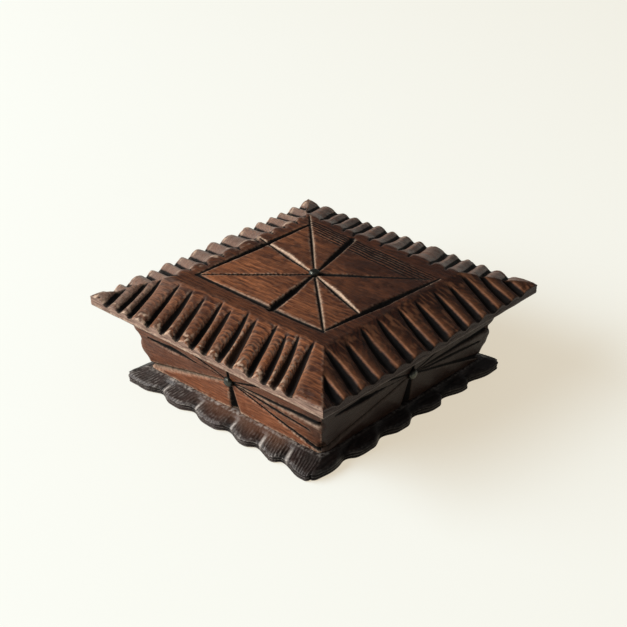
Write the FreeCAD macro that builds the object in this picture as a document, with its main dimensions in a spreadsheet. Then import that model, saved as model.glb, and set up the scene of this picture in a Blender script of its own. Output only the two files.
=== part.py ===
import FreeCAD, Part
import math
import os
import Sketcher

# Carved wooden jewelry box: flared mitred walls on a scalloped plinth, under a hipped lid with back hinges.
# Frame: +Z up, origin on the ground under the centre, front wall towards -Y, hinges towards +Y. Millimetres.

DRIVING_DIMENSIONS = (
    # Lid board
    ("lid_side", 170.0, "outer side of the square lid"),
    ("lid_band", 6.0, "height of the upright band round the lid"),
    ("lid_rise", 9.5, "rise of the hipped slopes above the band"),
    ("plateau_width", 112.0, "flat top of the lid, left to right"),
    ("plateau_depth", 106.0, "flat top of the lid, front to back"),
    ("slope_cut_depth", 3.0, "depth of a slope groove at the lid's edge"),
    ("slope_cut_width", 5.2, "width of a slope groove at the lid's edge"),
    ("slope_cut_lean", 14.0, "usual lean of the slope grooves, in degrees"),
    ("front_cut_count", 14, "grooves on the front slope"),
    ("front_cut_pitch", 10.3, "mean spacing of the front grooves"),
    ("front_cut_start", 13.0, "from the lid's left corner to the first front groove"),
    ("side_cut_count", 12, "grooves on the right slope"),
    ("side_cut_pitch", 13.2, "mean spacing of the right grooves"),
    ("side_cut_start", 11.0, "from the lid's front corner to the first right groove"),
    ("back_cut_count", 14, "grooves on the back slope"),
    ("back_cut_pitch", 10.8, "mean spacing of the back grooves"),
    ("back_cut_start", 19.0, "from the lid's right corner to the first back groove"),
    ("left_cut_count", 14, "grooves on the left slope"),
    ("left_cut_pitch", 11.3, "mean spacing of the left grooves"),
    ("left_cut_start", 8.5, "from the lid's back corner to the first left groove"),
    ("border_side", 87.5, "mean side of the hand-scored border round the lid's star"),
    ("border_width", 3.6, "width of the scored border"),
    ("border_depth", 1.8, "depth of the scored border"),
    ("lid_ray_width", 4.2, "width of a broad lid ray at its outer end"),
    ("lid_ray_depth", 2.0, "depth of a broad lid ray at its outer end"),
    ("lid_line_width", 1.8, "width of a thin diagonal lid ray"),
    ("lid_line_depth", 1.1, "depth of a thin diagonal lid ray"),
    # Walls
    ("wall_top_side", 144.5, "outer side of the square at the top of the walls"),
    ("wall_foot_side", 129.6, "outer side of the square at the foot of the walls"),
    ("wall_height", 38.8, "upright height of the walls"),
    ("wall_thickness", 9.0, "thickness of a wall board"),
    ("wall_ray_width", 5.6, "width of an upright or level wall ray at its outer end"),
    ("wall_ray_depth", 2.5, "depth of an upright or level wall ray at its outer end"),
    ("wall_line_width", 4.6, "width of a diagonal wall ray at its outer end"),
    ("wall_line_depth", 2.1, "depth of a diagonal wall ray at its outer end"),
    ("front_star_shift", 3.5, "the front star sits off centre, towards the right"),
    # Plinth
    ("plinth_side", 145.6, "side of the square plinth, over its tips"),
    ("plinth_thickness", 8.0, "thickness of the plinth under the walls"),
    ("plinth_edge", 4.4, "height of the plinth's scalloped edge"),
    ("plinth_ledge", 1.0, "flat ledge of the plinth in front of the walls"),
    ("plinth_tip_reach", 7.3, "how far the tip at the front right corner runs forward"),
    ("plinth_tip_lean", 3.5, "how far that tip leans to the left"),
    ("scallop_count", 5, "scallops cut in each side of the plinth"),
    ("scallop_pitch", 25.0, "spacing of the scallops"),
    ("scallop_depth", 4.6, "depth of a scallop"),
    # Studs
    ("stud_head_radius", 3.1, "radius of a domed stud head"),
    ("stud_head_height", 2.5, "height of a domed stud head"),
    ("stud_shank_radius", 0.9, "radius of a stud shank"),
    ("stud_shank_length", 6.5, "length of a stud shank"),
    # Hinges
    ("hinge_spacing", 64.0, "distance between the two hinges"),
    ("hinge_width", 20.0, "width of a hinge along its pin"),
    ("leaf_length", 8.0, "reach of a hinge leaf from the pin axis"),
    ("leaf_thickness", 0.9, "thickness of a hinge leaf"),
    ("knuckle_radius", 1.8, "outer radius of a hinge knuckle"),
    ("knuckle_gap", 0.3, "end play between two knuckles"),
    ("knuckle_clearance", 0.35, "air between a knuckle and the wood"),
    ("pin_radius", 0.8, "radius of a hinge pin"),
    ("pin_overhang", 0.4, "length of pin past the knuckles at each end"),
    ("pin_clearance", 0.05, "radial running clearance of a pin"),
    # Screws and nails
    ("screw_head_radius", 1.5, "radius of a countersunk screw head"),
    ("screw_shank_radius", 0.8, "radius of a screw shank"),
    ("screw_spread", 11.0, "distance between the two screws of a leaf"),
    ("wall_screw_length", 6.5, "length of a hinge screw in the back wall"),
    ("lid_screw_length", 4.0, "length of a hinge screw in the lid"),
    ("nail_head_radius", 1.8, "radius of a plinth nail head"),
    ("nail_head_height", 0.8, "height of a plinth nail head"),
    ("nail_shank_radius", 0.75, "radius of a plinth nail shank"),
    ("nail_length", 20.0, "length of a plinth nail"),
    ("nail_spread", 80.0, "distance between the two nails under a wall"),
    ("nail_recess", 0.3, "depth of a nail head inside the plinth's underside"),
    # Felt
    ("felt_thickness", 1.2, "thickness of the felt lining"),
    ("felt_top_gap", 1.6, "bare wood between the wall felt and the rim"),
    ("lid_felt_margin", 4.5, "gap between the lid felt and the wall felt"),
    # Fits
    ("seat_gap", 0.2, "gap between the closed lid and the rim"),
    ("shank_clearance", 0.03, "radial clearance round a shank in its hole"),
    ("felt_clearance", 0.3, "gap between the floor felt and the wall felt"),
    ("blind_gap", 0.3, "empty depth below the tip of a shank"),
    ("cut_overrun", 2.0, "how far a cutter runs past the wood"),
)

doc = FreeCAD.newDocument("jewelry_box")
sheet = doc.addObject("Spreadsheet::Sheet", "dims")
for row, (alias, number, meaning) in enumerate(DRIVING_DIMENSIONS, start=1):
    sheet.set(f"A{row}", meaning)
    sheet.set(f"B{row}", str(number))
    sheet.setAlias(f"B{row}", alias)
doc.recompute()

# Relations that several pieces share, written as expressions over the sheet
FLARE = "atan((dims.wall_top_side - dims.wall_foot_side) / (2 * dims.wall_height))"
SLANT = f"(dims.wall_height / cos({FLARE}))"
STAR_HEIGHT = f"({SLANT} / 2)"
RIM_Z = "(dims.plinth_thickness + dims.wall_height)"
LID_Z = f"({RIM_Z} + dims.seat_gap)"
LID_THICKNESS = "(dims.lid_band + dims.lid_rise)"
PIN_OFFSET = "(dims.knuckle_radius + dims.knuckle_clearance)"
PIN_Z = f"({LID_Z} - {PIN_OFFSET})"
PIN_Y = (f"(dims.wall_top_side / 2 + ({PIN_OFFSET} + ({PIN_Z} - {RIM_Z}) * sin({FLARE}))"
         f" / cos({FLARE}))")
PIN_BELOW_RIM = (f"(-({PIN_Y} - dims.wall_top_side / 2) * sin({FLARE})"
                 f" - ({PIN_Z} - {RIM_Z}) * cos({FLARE}))")
LEAF_START = PIN_OFFSET
SCREW_REACH = f"(({LEAF_START} + dims.leaf_length) / 2)"
SCREW_HEAD_HEIGHT = "(dims.screw_head_radius - dims.screw_shank_radius)"
NAIL_IN_WALL = "(dims.nail_length - dims.plinth_thickness + dims.nail_recess + dims.nail_head_height)"
HINGE_SIDES = (-1, 1)

# The four walls: name, turn about Z, and the cosine and sine of that turn
WALLS = (("front", 0, 1, 0), ("right", 90, 0, 1), ("back", 180, -1, 0), ("left", 270, 0, -1))

# The slopes' grooves are spaced by eye: the steps from groove to groove, anticlockwise, in shares of the row's
# pitch, and the lean of the first and the last groove in shares of the usual lean
GROOVE_ROWS = {
    "front": ((0.97, 0.83, 1.36, 1.07, 1.07, 1.17, 0.87, 1.02, 0.78, 1.31, 0.97, 0.63, 1.02), (0.5, 1.6)),
    "side": ((0.95, 0.98, 1.06, 0.98, 1.21, 0.95, 1.14, 0.91, 0.98, 0.91, 0.91), (-1.1, -0.6)),
    "back": ((1.11, 0.93, 0.97, 0.93, 1.39, 0.88, 0.97, 0.88, 1.02, 0.79, 0.93, 0.93, 1.3), (-0.3, 0.3)),
    "left": ((0.97, 0.8, 0.8, 0.88, 1.19, 1.24, 1.06, 1.15, 0.88, 1.06, 0.8, 1.24, 0.93), (-0.3, 0.3)),
}

# The border's corners and the ends of the star's rays, drawn by eye, in shares of half the border's side
BORDER_CORNERS = ((-1.05, -0.96), (1.05, -0.97), (1.14, 0.81), (-1.0, 0.99))
BROAD_RAY_ENDS = ((-1.21, 0.27), (0.23, -0.98), (1.05, -0.39), (-0.29, 1.03))
THIN_RAY_ENDS = ((-1.05, -0.96), (1.05, -0.97), (1.14, 0.81), (-1.19, 1.18))


def sheet_number(alias):
    """Read one driving dimension as a plain number."""
    return float(sheet.get(alias))


def bind(obj, **expressions):
    """Bind properties of an object to expressions over the sheet."""
    for name, expression in expressions.items():
        obj.setExpression(name, str(expression))


def place(obj, x="0", y="0", z="0", yaw="0", pitch="0", roll="0"):
    """Bind an object's Placement to expressions for its place and its turns."""
    spot = f"vector({x}; {y}; {z})"
    turn = f"rotation({yaw}; {pitch}; {roll})"
    obj.setExpression("Placement", f"placement({spot}; {turn})")


def new_body(label):
    """Start a body whose label names its node."""
    body = doc.addObject("PartDesign::Body", label)
    body.Label = label
    return body


def origin_feature(body, role):
    """Find a plane or an axis of a body's own origin."""
    return next(item for item in body.Origin.OriginFeatures if item.Role == role)


def new_sketch(body, name, plane, lift="0"):
    """Start a sketch on an origin plane of the body, lifted off it by a bound height."""
    sketch = body.newObject("Sketcher::SketchObject", name)
    sketch.AttachmentSupport = [(origin_feature(body, plane), "")]
    sketch.MapMode = "FlatFace"
    sketch.setExpression("AttachmentOffset.Base.z", lift)
    return sketch


def add_line(sketch, start, end):
    """Draw a straight side whose ends are bound to expressions."""
    number = sketch.addGeometry(Part.LineSegment(FreeCAD.Vector(0, 0, 0), FreeCAD.Vector(1, 1, 0)), False)
    fix_point(sketch, number, 1, start, f"start{number}")
    fix_point(sketch, number, 2, end, f"end{number}")


def add_arc(sketch, centre, radius, angles, start, end):
    """Draw an arc from a first guess of its centre, radius and angles, with its ends and radius bound."""
    circle = Part.Circle(FreeCAD.Vector(*centre, 0), FreeCAD.Vector(0, 0, 1), radius[0])
    turns = [math.radians(angle) for angle in angles]
    number = sketch.addGeometry(Part.ArcOfCircle(circle, *turns), False)
    fix_point(sketch, number, 1, start, f"start{number}")
    fix_point(sketch, number, 2, end, f"end{number}")
    bowed = sketch.addConstraint(Sketcher.Constraint("Radius", number, radius[0]))
    sketch.renameConstraint(bowed, f"radius{number}")
    sketch.setExpression(f"Constraints.radius{number}", radius[1])


def outline(body, name, plane, points, lift="0"):
    """Sketch a closed polygon whose corners are bound to expressions."""
    sketch = new_sketch(body, name, plane, lift)
    for index, corner in enumerate(points):
        add_line(sketch, corner, points[(index + 1) % len(points)])
    return sketch


def fix_point(sketch, geometry, vertex, spot, name):
    """Bind one point of a sketch to expressions for its two coordinates."""
    for axis, expression in zip(("X", "Y"), spot):
        value = sketch.evalExpression(expression)
        number = sketch.addConstraint(
            Sketcher.Constraint("Distance" + axis, -1, 1, geometry, vertex, getattr(value, "Value", value)))
        sketch.renameConstraint(number, name + axis)
        sketch.setExpression(f"Constraints.{name}{axis}", expression)


def rectangle(half_x, half_y):
    """Corners of a rectangle about the origin."""
    return ((f"-({half_x})", f"-({half_y})"), (half_x, f"-({half_y})"),
            (half_x, half_y), (f"-({half_x})", half_y))


def loft(body, name, first, second):
    """Join two outlines with flat faces."""
    feature = body.newObject("PartDesign::AdditiveLoft", name)
    feature.Profile = first
    feature.Sections = [second]
    feature.Ruled = True
    return feature


def pad(body, name, sketch, length):
    """Pad a sketch by a bound length."""
    feature = body.newObject("PartDesign::Pad", name)
    feature.Profile = sketch
    bind(feature, Length=length)
    return feature


def chip_cut(body, name, length, width, depth):
    """Add a V-shaped cutter along its own +Z, with its keel on Y = 0 and its mouth towards -Y."""
    mouth = f"({depth} + dims.cut_overrun)"
    half = f"({width} / 2 * {mouth} / {depth})"
    cut = body.newObject("PartDesign::SubtractiveWedge", name)
    bind(cut, Xmin=f"-{half}", Xmax=half, Ymin=f"-{mouth}", Ymax="0", Zmin="0", Zmax=length)
    bind(cut, X2min="0", X2max="0", Z2min="0", Z2max=length)
    return cut


def drill(body, name, radius, depth):
    """Add a round hole along its own +Z."""
    hole = body.newObject("PartDesign::SubtractiveCylinder", name)
    bind(hole, Radius=radius, Height=depth)
    return hole


def row_pattern(body, axis, pitch, count):
    """Make a straight row for a pattern."""
    row = doc.addObject("PartDesign::LinearPattern", f"{body.Name}_row")
    row.Direction = (origin_feature(body, axis), [""])
    row.Mode = "Spacing"
    bind(row, Offset=pitch, Occurrences=count)
    return row


def ring_pattern(body, count):
    """Make turns about the upright axis for a pattern."""
    ring = doc.addObject("PartDesign::PolarPattern", f"{body.Name}_ring")
    ring.Axis = (origin_feature(body, "Z_Axis"), [""])
    ring.Angle = 360
    ring.Occurrences = count
    return ring


def repeat(body, feature, steps):
    """Repeat a feature by one or more pattern steps."""
    pattern = body.newObject("PartDesign::MultiTransform", f"{feature.Name}_repeat")
    pattern.Originals = [feature]
    pattern.Transformations = steps
    body.Tip = pattern
    return pattern


def turned_piece(label, profile):
    """Revolve a half profile of (radius, height) corners about Z."""
    body = new_body(label)
    revolve(body, outline(body, f"{label}_profile", "XZ_Plane", profile))
    return body


def revolve(body, sketch):
    """Turn a half profile about the sketch's upright axis."""
    spin = body.newObject("PartDesign::Revolution", f"{body.Name}_turned")
    spin.Profile = sketch
    spin.ReferenceAxis = (sketch, ["V_Axis"])
    spin.Angle = 360


# Lid board
def make_lid_board():
    """Hipped lid with slope grooves, a scored border, a star, a stud hole and hinge screw holes."""
    body = new_body("lid_board")
    half = "(dims.lid_side / 2)"
    foot = outline(body, "lid_foot", "XY_Plane", rectangle(half, half))
    pad(body, "lid_edge_band", foot, "dims.lid_band")
    low = outline(body, "slope_foot", "XY_Plane", rectangle(half, half), "dims.lid_band")
    plateau = rectangle("(dims.plateau_width / 2)", "(dims.plateau_depth / 2)")
    high = outline(body, "slope_head", "XY_Plane", plateau, LID_THICKNESS)
    loft(body, "lid_hip", low, high)
    for row, wall in zip(GROOVE_ROWS, WALLS):
        cut_slope(body, row, wall)
    score_lid(body)
    stud_hole = drill(body, "lid_stud_hole", "dims.stud_shank_radius + dims.shank_clearance",
                      "dims.stud_shank_length + dims.blind_gap + dims.cut_overrun")
    place(stud_hole, z=f"{LID_THICKNESS} - dims.stud_shank_length - dims.blind_gap")
    for side in HINGE_SIDES:
        for end in HINGE_SIDES:
            hole = drill(body, "lid_screw_hole", "dims.screw_shank_radius + dims.shank_clearance",
                         "dims.lid_screw_length - dims.leaf_thickness + dims.blind_gap")
            place(hole, x=screw_x(side, end), y=f"{PIN_Y} + {SCREW_REACH}")
    place(body, z=LID_Z)
    return body


def groove_places(row):
    """Run from the first groove of a row, in pitches, and lean of each groove, in shares of the usual lean."""
    steps, (first_lean, last_lean) = GROOVE_ROWS[row]
    count = int(sheet_number(f"{row}_cut_count"))
    places = []
    run = 0.0
    for number in range(count):
        share = number / max(1, count - 1)
        places.append((round(run, 2), round(first_lean + (last_lean - first_lean) * share, 2)))
        run += steps[number] if number < len(steps) else 1.0
    return places


def cut_slope(body, row, wall):
    """Gouge one slope's row of leaning grooves, each from the plateau's edge down to the lid's edge."""
    name, turn, cosine, sine = wall
    head = "(dims.plateau_depth / 2)" if name in ("front", "back") else "(dims.plateau_width / 2)"
    run = f"(dims.lid_side / 2 - {head})"
    for number, (steps, share) in enumerate(groove_places(row)):
        lean = f"({share} * dims.slope_cut_lean)"
        foot = f"(dims.{row}_cut_start + {steps} * dims.{row}_cut_pitch - dims.lid_side / 2)"
        top = f"({foot} - {run} * tan({lean}))"
        lean_run = f"({run} / cos({lean}))"
        fall = f"atan((dims.lid_rise + dims.slope_cut_depth) / {lean_run})"
        length = f"({lean_run} / cos({fall}) + 2 * dims.cut_overrun)"
        cut = chip_cut(body, f"{name}_groove{number}", length, "dims.slope_cut_width", "dims.slope_cut_depth")
        place(cut, x=f"{cosine} * {top} + {sine} * {head}", y=f"{sine} * {top} - {cosine} * {head}",
              z=LID_THICKNESS, yaw=f"{turn + 180} + {lean}", roll=f"-90 deg - {fall}")


def border_point(corner):
    """Expressions for a point given in shares of half the border's side."""
    return tuple(f"({share} * dims.border_side / 2)" for share in corner)


def score_lid(body):
    """Score the border and the eight rays of the lid's star."""
    for number, corner in enumerate(BORDER_CORNERS):
        (x0, y0), (x1, y1) = border_point(corner), border_point(BORDER_CORNERS[(number + 1) % 4])
        cut = chip_cut(body, f"border_groove{number}", f"hypot({x1} - {x0}; {y1} - {y0})",
                       "dims.border_width", "dims.border_depth")
        place(cut, x=x0, y=y0, z=f"{LID_THICKNESS} - dims.border_depth",
              yaw=f"-atan2({x1} - {x0}; {y1} - {y0})", roll="-90")
    start = "dims.stud_head_radius"
    for kind, ends in (("ray", BROAD_RAY_ENDS), ("line", THIN_RAY_ENDS)):
        for number, end in enumerate(ends):
            x, y = border_point(end)
            reach = f"(hypot({x}; {y}) - {start})"
            turn = f"atan2({x}; {y})"
            depth = f"dims.lid_{kind}_depth"
            cut = chip_cut(body, f"lid_{kind}{number}", reach, f"dims.lid_{kind}_width", depth)
            place(cut, x=f"{start} * sin({turn})", y=f"{start} * cos({turn})", z=LID_THICKNESS,
                  yaw=f"-{turn}", roll=f"-90 deg - atan({depth} / {reach})")


# Walls and wall linings
def flared_outline(body, name, depth, low, high):
    """Outline of a flared board at a depth behind the wall's outer face, between two upright heights."""
    corners = []
    for height, ends in ((low, (-1, 1)), (high, (1, -1))):
        half = f"(dims.wall_foot_side / 2 + {height} * tan({FLARE}) - {depth} / cos({FLARE}))"
        rise = f"{height} / cos({FLARE}) - {depth} * tan({FLARE})"
        corners.extend((f"{end} * {half}", rise) for end in ends)
    return outline(body, name, "XZ_Plane", corners, f"-({depth})")


def flared_board(label, wall, near, far, low, high):
    """Board between two depths behind a wall's outer face, mitred at its ends and level at top and foot."""
    _, turn, cosine, sine = wall
    body = new_body(label)
    outer = flared_outline(body, f"{label}_outer", near, low, high)
    inner = flared_outline(body, f"{label}_inner", far, low, high)
    loft(body, f"{label}_board", outer, inner)
    place(body, x=f"{sine} * dims.wall_foot_side / 2", y=f"{-cosine} * dims.wall_foot_side / 2",
          z="dims.plinth_thickness", yaw=turn, roll=FLARE)
    return body


def star_shift(wall):
    """Sideways place of a wall's star along the wall."""
    return "dims.front_star_shift" if wall[0] == "front" else "0"


def make_wall(wall):
    """Mitred wall with its star, its stud hole, its nail holes and, at the back, hinge screw holes."""
    name = wall[0]
    body = flared_board(f"{name}_wall", wall, "0", "dims.wall_thickness", "0", "dims.wall_height")
    carve_wall_star(body, name, star_shift(wall))
    stud_hole = drill(body, f"{name}_stud_hole", "dims.stud_shank_radius + dims.shank_clearance",
                      "dims.stud_shank_length + dims.blind_gap + dims.cut_overrun")
    place(stud_hole, x=star_shift(wall), y="-dims.cut_overrun", z=STAR_HEIGHT, roll="-90")
    for end in HINGE_SIDES:
        nail_hole = drill(body, f"{name}_nail_hole", "dims.nail_shank_radius + dims.shank_clearance",
                          f"{NAIL_IN_WALL} + dims.blind_gap")
        place(nail_hole, x=f"{end} * dims.nail_spread / 2", y="dims.wall_thickness / 2",
              z=f"-dims.wall_thickness / 2 * tan({FLARE})", roll=f"-{FLARE}")
    if name == "back":
        for side in HINGE_SIDES:
            for end in HINGE_SIDES:
                hole = drill(body, "wall_screw_hole", "dims.screw_shank_radius + dims.shank_clearance",
                             "dims.wall_screw_length - dims.leaf_thickness + dims.blind_gap")
                place(hole, x=screw_x(side, end), z=f"{SLANT} - {PIN_BELOW_RIM} - {SCREW_REACH}", roll="-90")
    return body


def carve_wall_star(body, name, shift):
    """Cut eight rays from the stud to the middles of a wall's edges and to its corners."""
    foot = "(dims.wall_foot_side / 2)"
    top = "(dims.wall_top_side / 2)"
    middle = f"(({foot} + {top}) / 2)"
    broad = ((shift, "0"), (shift, SLANT), (middle, STAR_HEIGHT), (f"-{middle}", STAR_HEIGHT))
    corners = ((foot, "0"), (f"-{foot}", "0"), (top, SLANT), (f"-{top}", SLANT))
    start = "dims.stud_head_radius"
    for kind, targets in (("ray", broad), ("line", corners)):
        width = f"dims.wall_{kind}_width"
        depth = f"dims.wall_{kind}_depth"
        for number, (x, z) in enumerate(targets):
            across = f"({x} - {shift})"
            up = f"({z} - {STAR_HEIGHT})"
            reach = f"(hypot({across}; {up}) - {start})"
            turn = f"atan2({across}; {up})"
            fall = f"atan({depth} / {reach})"
            cut = chip_cut(body, f"{name}_{kind}{number}", f"({reach} + 2 * dims.cut_overrun)", width, depth)
            place(cut, x=f"{shift} + {start} * sin({turn})", z=f"{STAR_HEIGHT} + {start} * cos({turn})",
                  pitch=turn, roll=f"-{fall}")


def make_wall_lining(wall):
    """Felt glued to the inside of a wall."""
    return flared_board(f"{wall[0]}_wall_lining", wall, "dims.wall_thickness",
                        "(dims.wall_thickness + dims.felt_thickness)", "0",
                        "(dims.wall_height - dims.felt_top_gap)")


# Plinth
def make_plinth():
    """Scalloped plinth with a sloped top, which is also the floor of the box."""
    body = new_body("base_plinth")
    half = "(dims.plinth_side / 2)"
    ledge = "(dims.wall_foot_side / 2 + dims.plinth_ledge)"
    crest = "(dims.scallop_count * dims.scallop_pitch / 2)"
    left_front, _, right_back, left_back = rectangle(half, half)
    tip = ((crest, f"-{half}"), (f"({half} - dims.plinth_tip_lean)", f"-({half} + dims.plinth_tip_reach)"),
           (half, f"-{crest}"))
    foot = outline(body, "plinth_foot", "XY_Plane", (left_front, *tip, right_back, left_back))
    pad(body, "plinth_edge_band", foot, "dims.plinth_edge")
    inset = f"({half} - dims.plinth_tip_lean)"
    low = outline(body, "plinth_slope_foot", "XY_Plane",
                  (left_front, (inset, f"-{half}"), right_back, left_back), "dims.plinth_edge")
    high = outline(body, "plinth_slope_head", "XY_Plane", rectangle(ledge, ledge), "dims.plinth_thickness")
    loft(body, "plinth_slope", low, high)
    cut_scallops(body)
    drill_nail_holes(body)
    return body


def cut_scallops(body):
    """Cut a row of scallops, each one period of a wave of tangent arcs, in all four sides."""
    quarter = "(dims.scallop_pitch / 4)"
    bow = "(2 * atan(2 * dims.scallop_depth / dims.scallop_pitch))"
    radius = f"({quarter} / sin({bow}))"
    middle = "(-(dims.scallop_count - 1) * dims.scallop_pitch / 2)"
    edge = "(-dims.plinth_side / 2)"
    outside = f"({edge} - dims.cut_overrun)"
    half_way = f"({edge} + dims.scallop_depth / 2)"
    crests = [(f"{middle} - 2 * {quarter}", edge), (f"{middle} + 2 * {quarter}", edge)]
    flanks = [(f"{middle} - {quarter}", half_way), (f"{middle} + {quarter}", half_way)]
    corners = [crests[1], (crests[1][0], outside), (crests[0][0], outside), crests[0]]
    sketch = new_sketch(body, "scallop_outline", "XY_Plane")
    draw_wave(sketch, radius, crests, flanks)
    for start, end in zip(corners, corners[1:]):
        add_line(sketch, start, end)
    pocket = body.newObject("PartDesign::Pocket", "scallop")
    pocket.Profile = sketch
    pocket.Type = "Length"
    pocket.Reversed = True
    bind(pocket, Length="dims.plinth_thickness + dims.cut_overrun")
    row = row_pattern(body, "X_Axis", "dims.scallop_pitch", "dims.scallop_count")
    repeat(body, pocket, [row, ring_pattern(body, 4)])


def draw_wave(sketch, radius, crests, flanks):
    """Draw crest, hollow and crest as three tangent arcs, each from its anticlockwise start to its end."""
    pitch = sheet_number("scallop_pitch")
    depth = sheet_number("scallop_depth")
    bow = math.degrees(2 * math.atan(2 * depth / pitch))
    size = pitch / 4 / math.sin(math.radians(bow))
    x = -(sheet_number("scallop_count") - 1) * pitch / 2
    y = -sheet_number("plinth_side") / 2
    bowed = (size, radius)
    add_arc(sketch, (x - pitch / 2, y + size), bowed, (270, 270 + bow), crests[0], flanks[0])
    add_arc(sketch, (x, y + depth - size), bowed, (90 - bow, 90 + bow), flanks[1], flanks[0])
    add_arc(sketch, (x + pitch / 2, y + size), bowed, (270 - bow, 270), flanks[1], crests[1])


def drill_nail_holes(body):
    """Drill each plinth nail's shank hole and the recess for its head."""
    for name, x, y in nail_spots():
        shank = drill(body, f"plinth_{name}_nail_hole", "dims.nail_shank_radius + dims.shank_clearance",
                      "dims.plinth_thickness + 2 * dims.cut_overrun")
        place(shank, x=x, y=y, z="-dims.cut_overrun")
        recess = drill(body, f"plinth_{name}_nail_recess", "dims.nail_head_radius + dims.shank_clearance",
                       "dims.nail_recess + dims.nail_head_height + dims.cut_overrun")
        place(recess, x=x, y=y, z="-dims.cut_overrun")


def nail_spots():
    """Place of each plinth nail: under the middle of a wall's foot, two to a wall."""
    inset = f"(dims.wall_foot_side / 2 - dims.wall_thickness / (2 * cos({FLARE})))"
    spots = []
    for name, _, cosine, sine in WALLS:
        for end in HINGE_SIDES:
            along = f"{end} * dims.nail_spread / 2"
            x = f"{cosine} * {along} + {sine} * {inset}"
            y = f"{sine} * {along} - {cosine} * {inset}"
            spots.append((name, x, y))
    return spots


# Flat linings
def make_flat_lining(label, half, z):
    """Square of felt lying level."""
    body = new_body(label)
    sketch = outline(body, f"{label}_outline", "XY_Plane", rectangle(half, half))
    pad(body, f"{label}_felt", sketch, "dims.felt_thickness")
    place(body, z=z)
    return body


def make_flat_linings():
    """Felt on the floor of the box and under the lid."""
    felt_face = "(dims.wall_thickness + dims.felt_thickness)"
    floor_half = f"(dims.wall_foot_side / 2 - {felt_face} / cos({FLARE}) - dims.felt_clearance)"
    lid_half = f"(dims.wall_top_side / 2 - {felt_face} / cos({FLARE}) - dims.lid_felt_margin)"
    floor = make_flat_lining("floor_lining", floor_half, "dims.plinth_thickness")
    lid = make_flat_lining("lid_lining", lid_half, f"{LID_Z} - dims.felt_thickness")
    return [floor, lid]


# Studs, screws, nails and pins
def make_stud(label):
    """Domed stud with its head's flat underside on Z = 0 and its shank towards -Z."""
    rim = ("dims.stud_head_radius", "0")
    crown = ("0", "dims.stud_head_height")
    shank = "dims.stud_shank_radius"
    tip = "-dims.stud_shank_length"
    corners = (crown, ("0", tip), (shank, tip), (shank, "0"), rim)
    body = new_body(label)
    sketch = new_sketch(body, f"{label}_profile", "XZ_Plane")
    for start, end in zip(corners, corners[1:]):
        add_line(sketch, start, end)
    wide = sheet_number("stud_head_radius")
    high = sheet_number("stud_head_height")
    size = (wide ** 2 + high ** 2) / (2 * high)
    radius = "(dims.stud_head_radius ^ 2 + dims.stud_head_height ^ 2) / (2 * dims.stud_head_height)"
    tilt = math.degrees(math.asin((size - high) / size))
    add_arc(sketch, (0, high - size), (size, radius), (tilt, 90), rim, crown)
    revolve(body, sketch)
    return body


def make_studs():
    """One stud at the centre of each star."""
    lid_stud = make_stud("lid_stud")
    place(lid_stud, z=f"{LID_Z} + {LID_THICKNESS}")
    studs = [lid_stud]
    for wall in WALLS:
        name, turn, cosine, sine = wall
        stud = make_stud(f"{name}_stud")
        along = star_shift(wall)
        out = f"(dims.wall_foot_side / 2 + {STAR_HEIGHT} * sin({FLARE}))"
        place(stud, x=f"{cosine} * {along} + {sine} * {out}", y=f"{sine} * {along} - {cosine} * {out}",
              z=f"dims.plinth_thickness + {STAR_HEIGHT} * cos({FLARE})", yaw=turn, roll=f"{FLARE} + 90 deg")
        studs.append(stud)
    return studs


def make_screw(label, length):
    """Countersunk screw with its head's flat top on Z = 0 and its tip towards -Z."""
    head = "dims.screw_head_radius"
    shank = "dims.screw_shank_radius"
    profile = (("0", "0"), ("0", f"-{length}"), (shank, f"-{length}"), (shank, f"-{SCREW_HEAD_HEIGHT}"),
               (head, "0"))
    return turned_piece(label, profile)


def screw_x(side, end):
    """Sideways place of a hinge screw: one of two in a leaf of one of two hinges."""
    return f"({side} * dims.hinge_spacing / 2 + {end} * dims.screw_spread / 2)"


def make_hinge_screws():
    """Four screws in the back wall and four in the lid, each set a group of separate solids."""
    wall_screws = []
    lid_screws = []
    face = f"({PIN_OFFSET} - dims.leaf_thickness)"
    for side in HINGE_SIDES:
        for end in HINGE_SIDES:
            number = len(wall_screws)
            wall_screw = make_screw(f"wall_screw{number}", "dims.wall_screw_length")
            y = f"{PIN_Y} - {SCREW_REACH} * sin({FLARE}) - {face} * cos({FLARE})"
            z = f"{PIN_Z} - {SCREW_REACH} * cos({FLARE}) + {face} * sin({FLARE})"
            place(wall_screw, x=screw_x(side, end), y=y, z=z, roll=f"-90 deg - {FLARE}")
            wall_screws.append(wall_screw)
            lid_screw = make_screw(f"lid_screw{number}", "dims.lid_screw_length")
            place(lid_screw, x=screw_x(side, end), y=f"{PIN_Y} + {SCREW_REACH}",
                  z=f"{LID_Z} - dims.leaf_thickness", roll="180")
            lid_screws.append(lid_screw)
    return [group("wall_hinge_screws", wall_screws), group("lid_hinge_screws", lid_screws)]


def make_nails():
    """Nails driven up through the plinth into the feet of the walls."""
    head = "dims.nail_head_radius"
    shank = "dims.nail_shank_radius"
    neck = "dims.nail_head_height"
    tip = "(dims.nail_head_height + dims.nail_length)"
    profile = (("0", tip), ("0", "0"), (head, "0"), (head, neck), (shank, neck), (shank, tip))
    nails = []
    for _, x, y in nail_spots():
        nail = turned_piece(f"nail{len(nails)}", profile)
        place(nail, x=x, y=y, z="dims.nail_recess")
        nails.append(nail)
    return [group("plinth_nails", nails)]


def group(label, members):
    """Hold identical fasteners together as one node of separate solids."""
    compound = doc.addObject("Part::Compound", label)
    compound.Label = label
    compound.Links = members
    return compound


# Hinges
def make_box(name, length, width, height, x, y, z):
    """Box with bound sizes, from its lowest corner."""
    box = doc.addObject("Part::Box", name)
    bind(box, Length=length, Width=width, Height=height)
    place(box, x=x, y=y, z=z)
    return box


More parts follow.
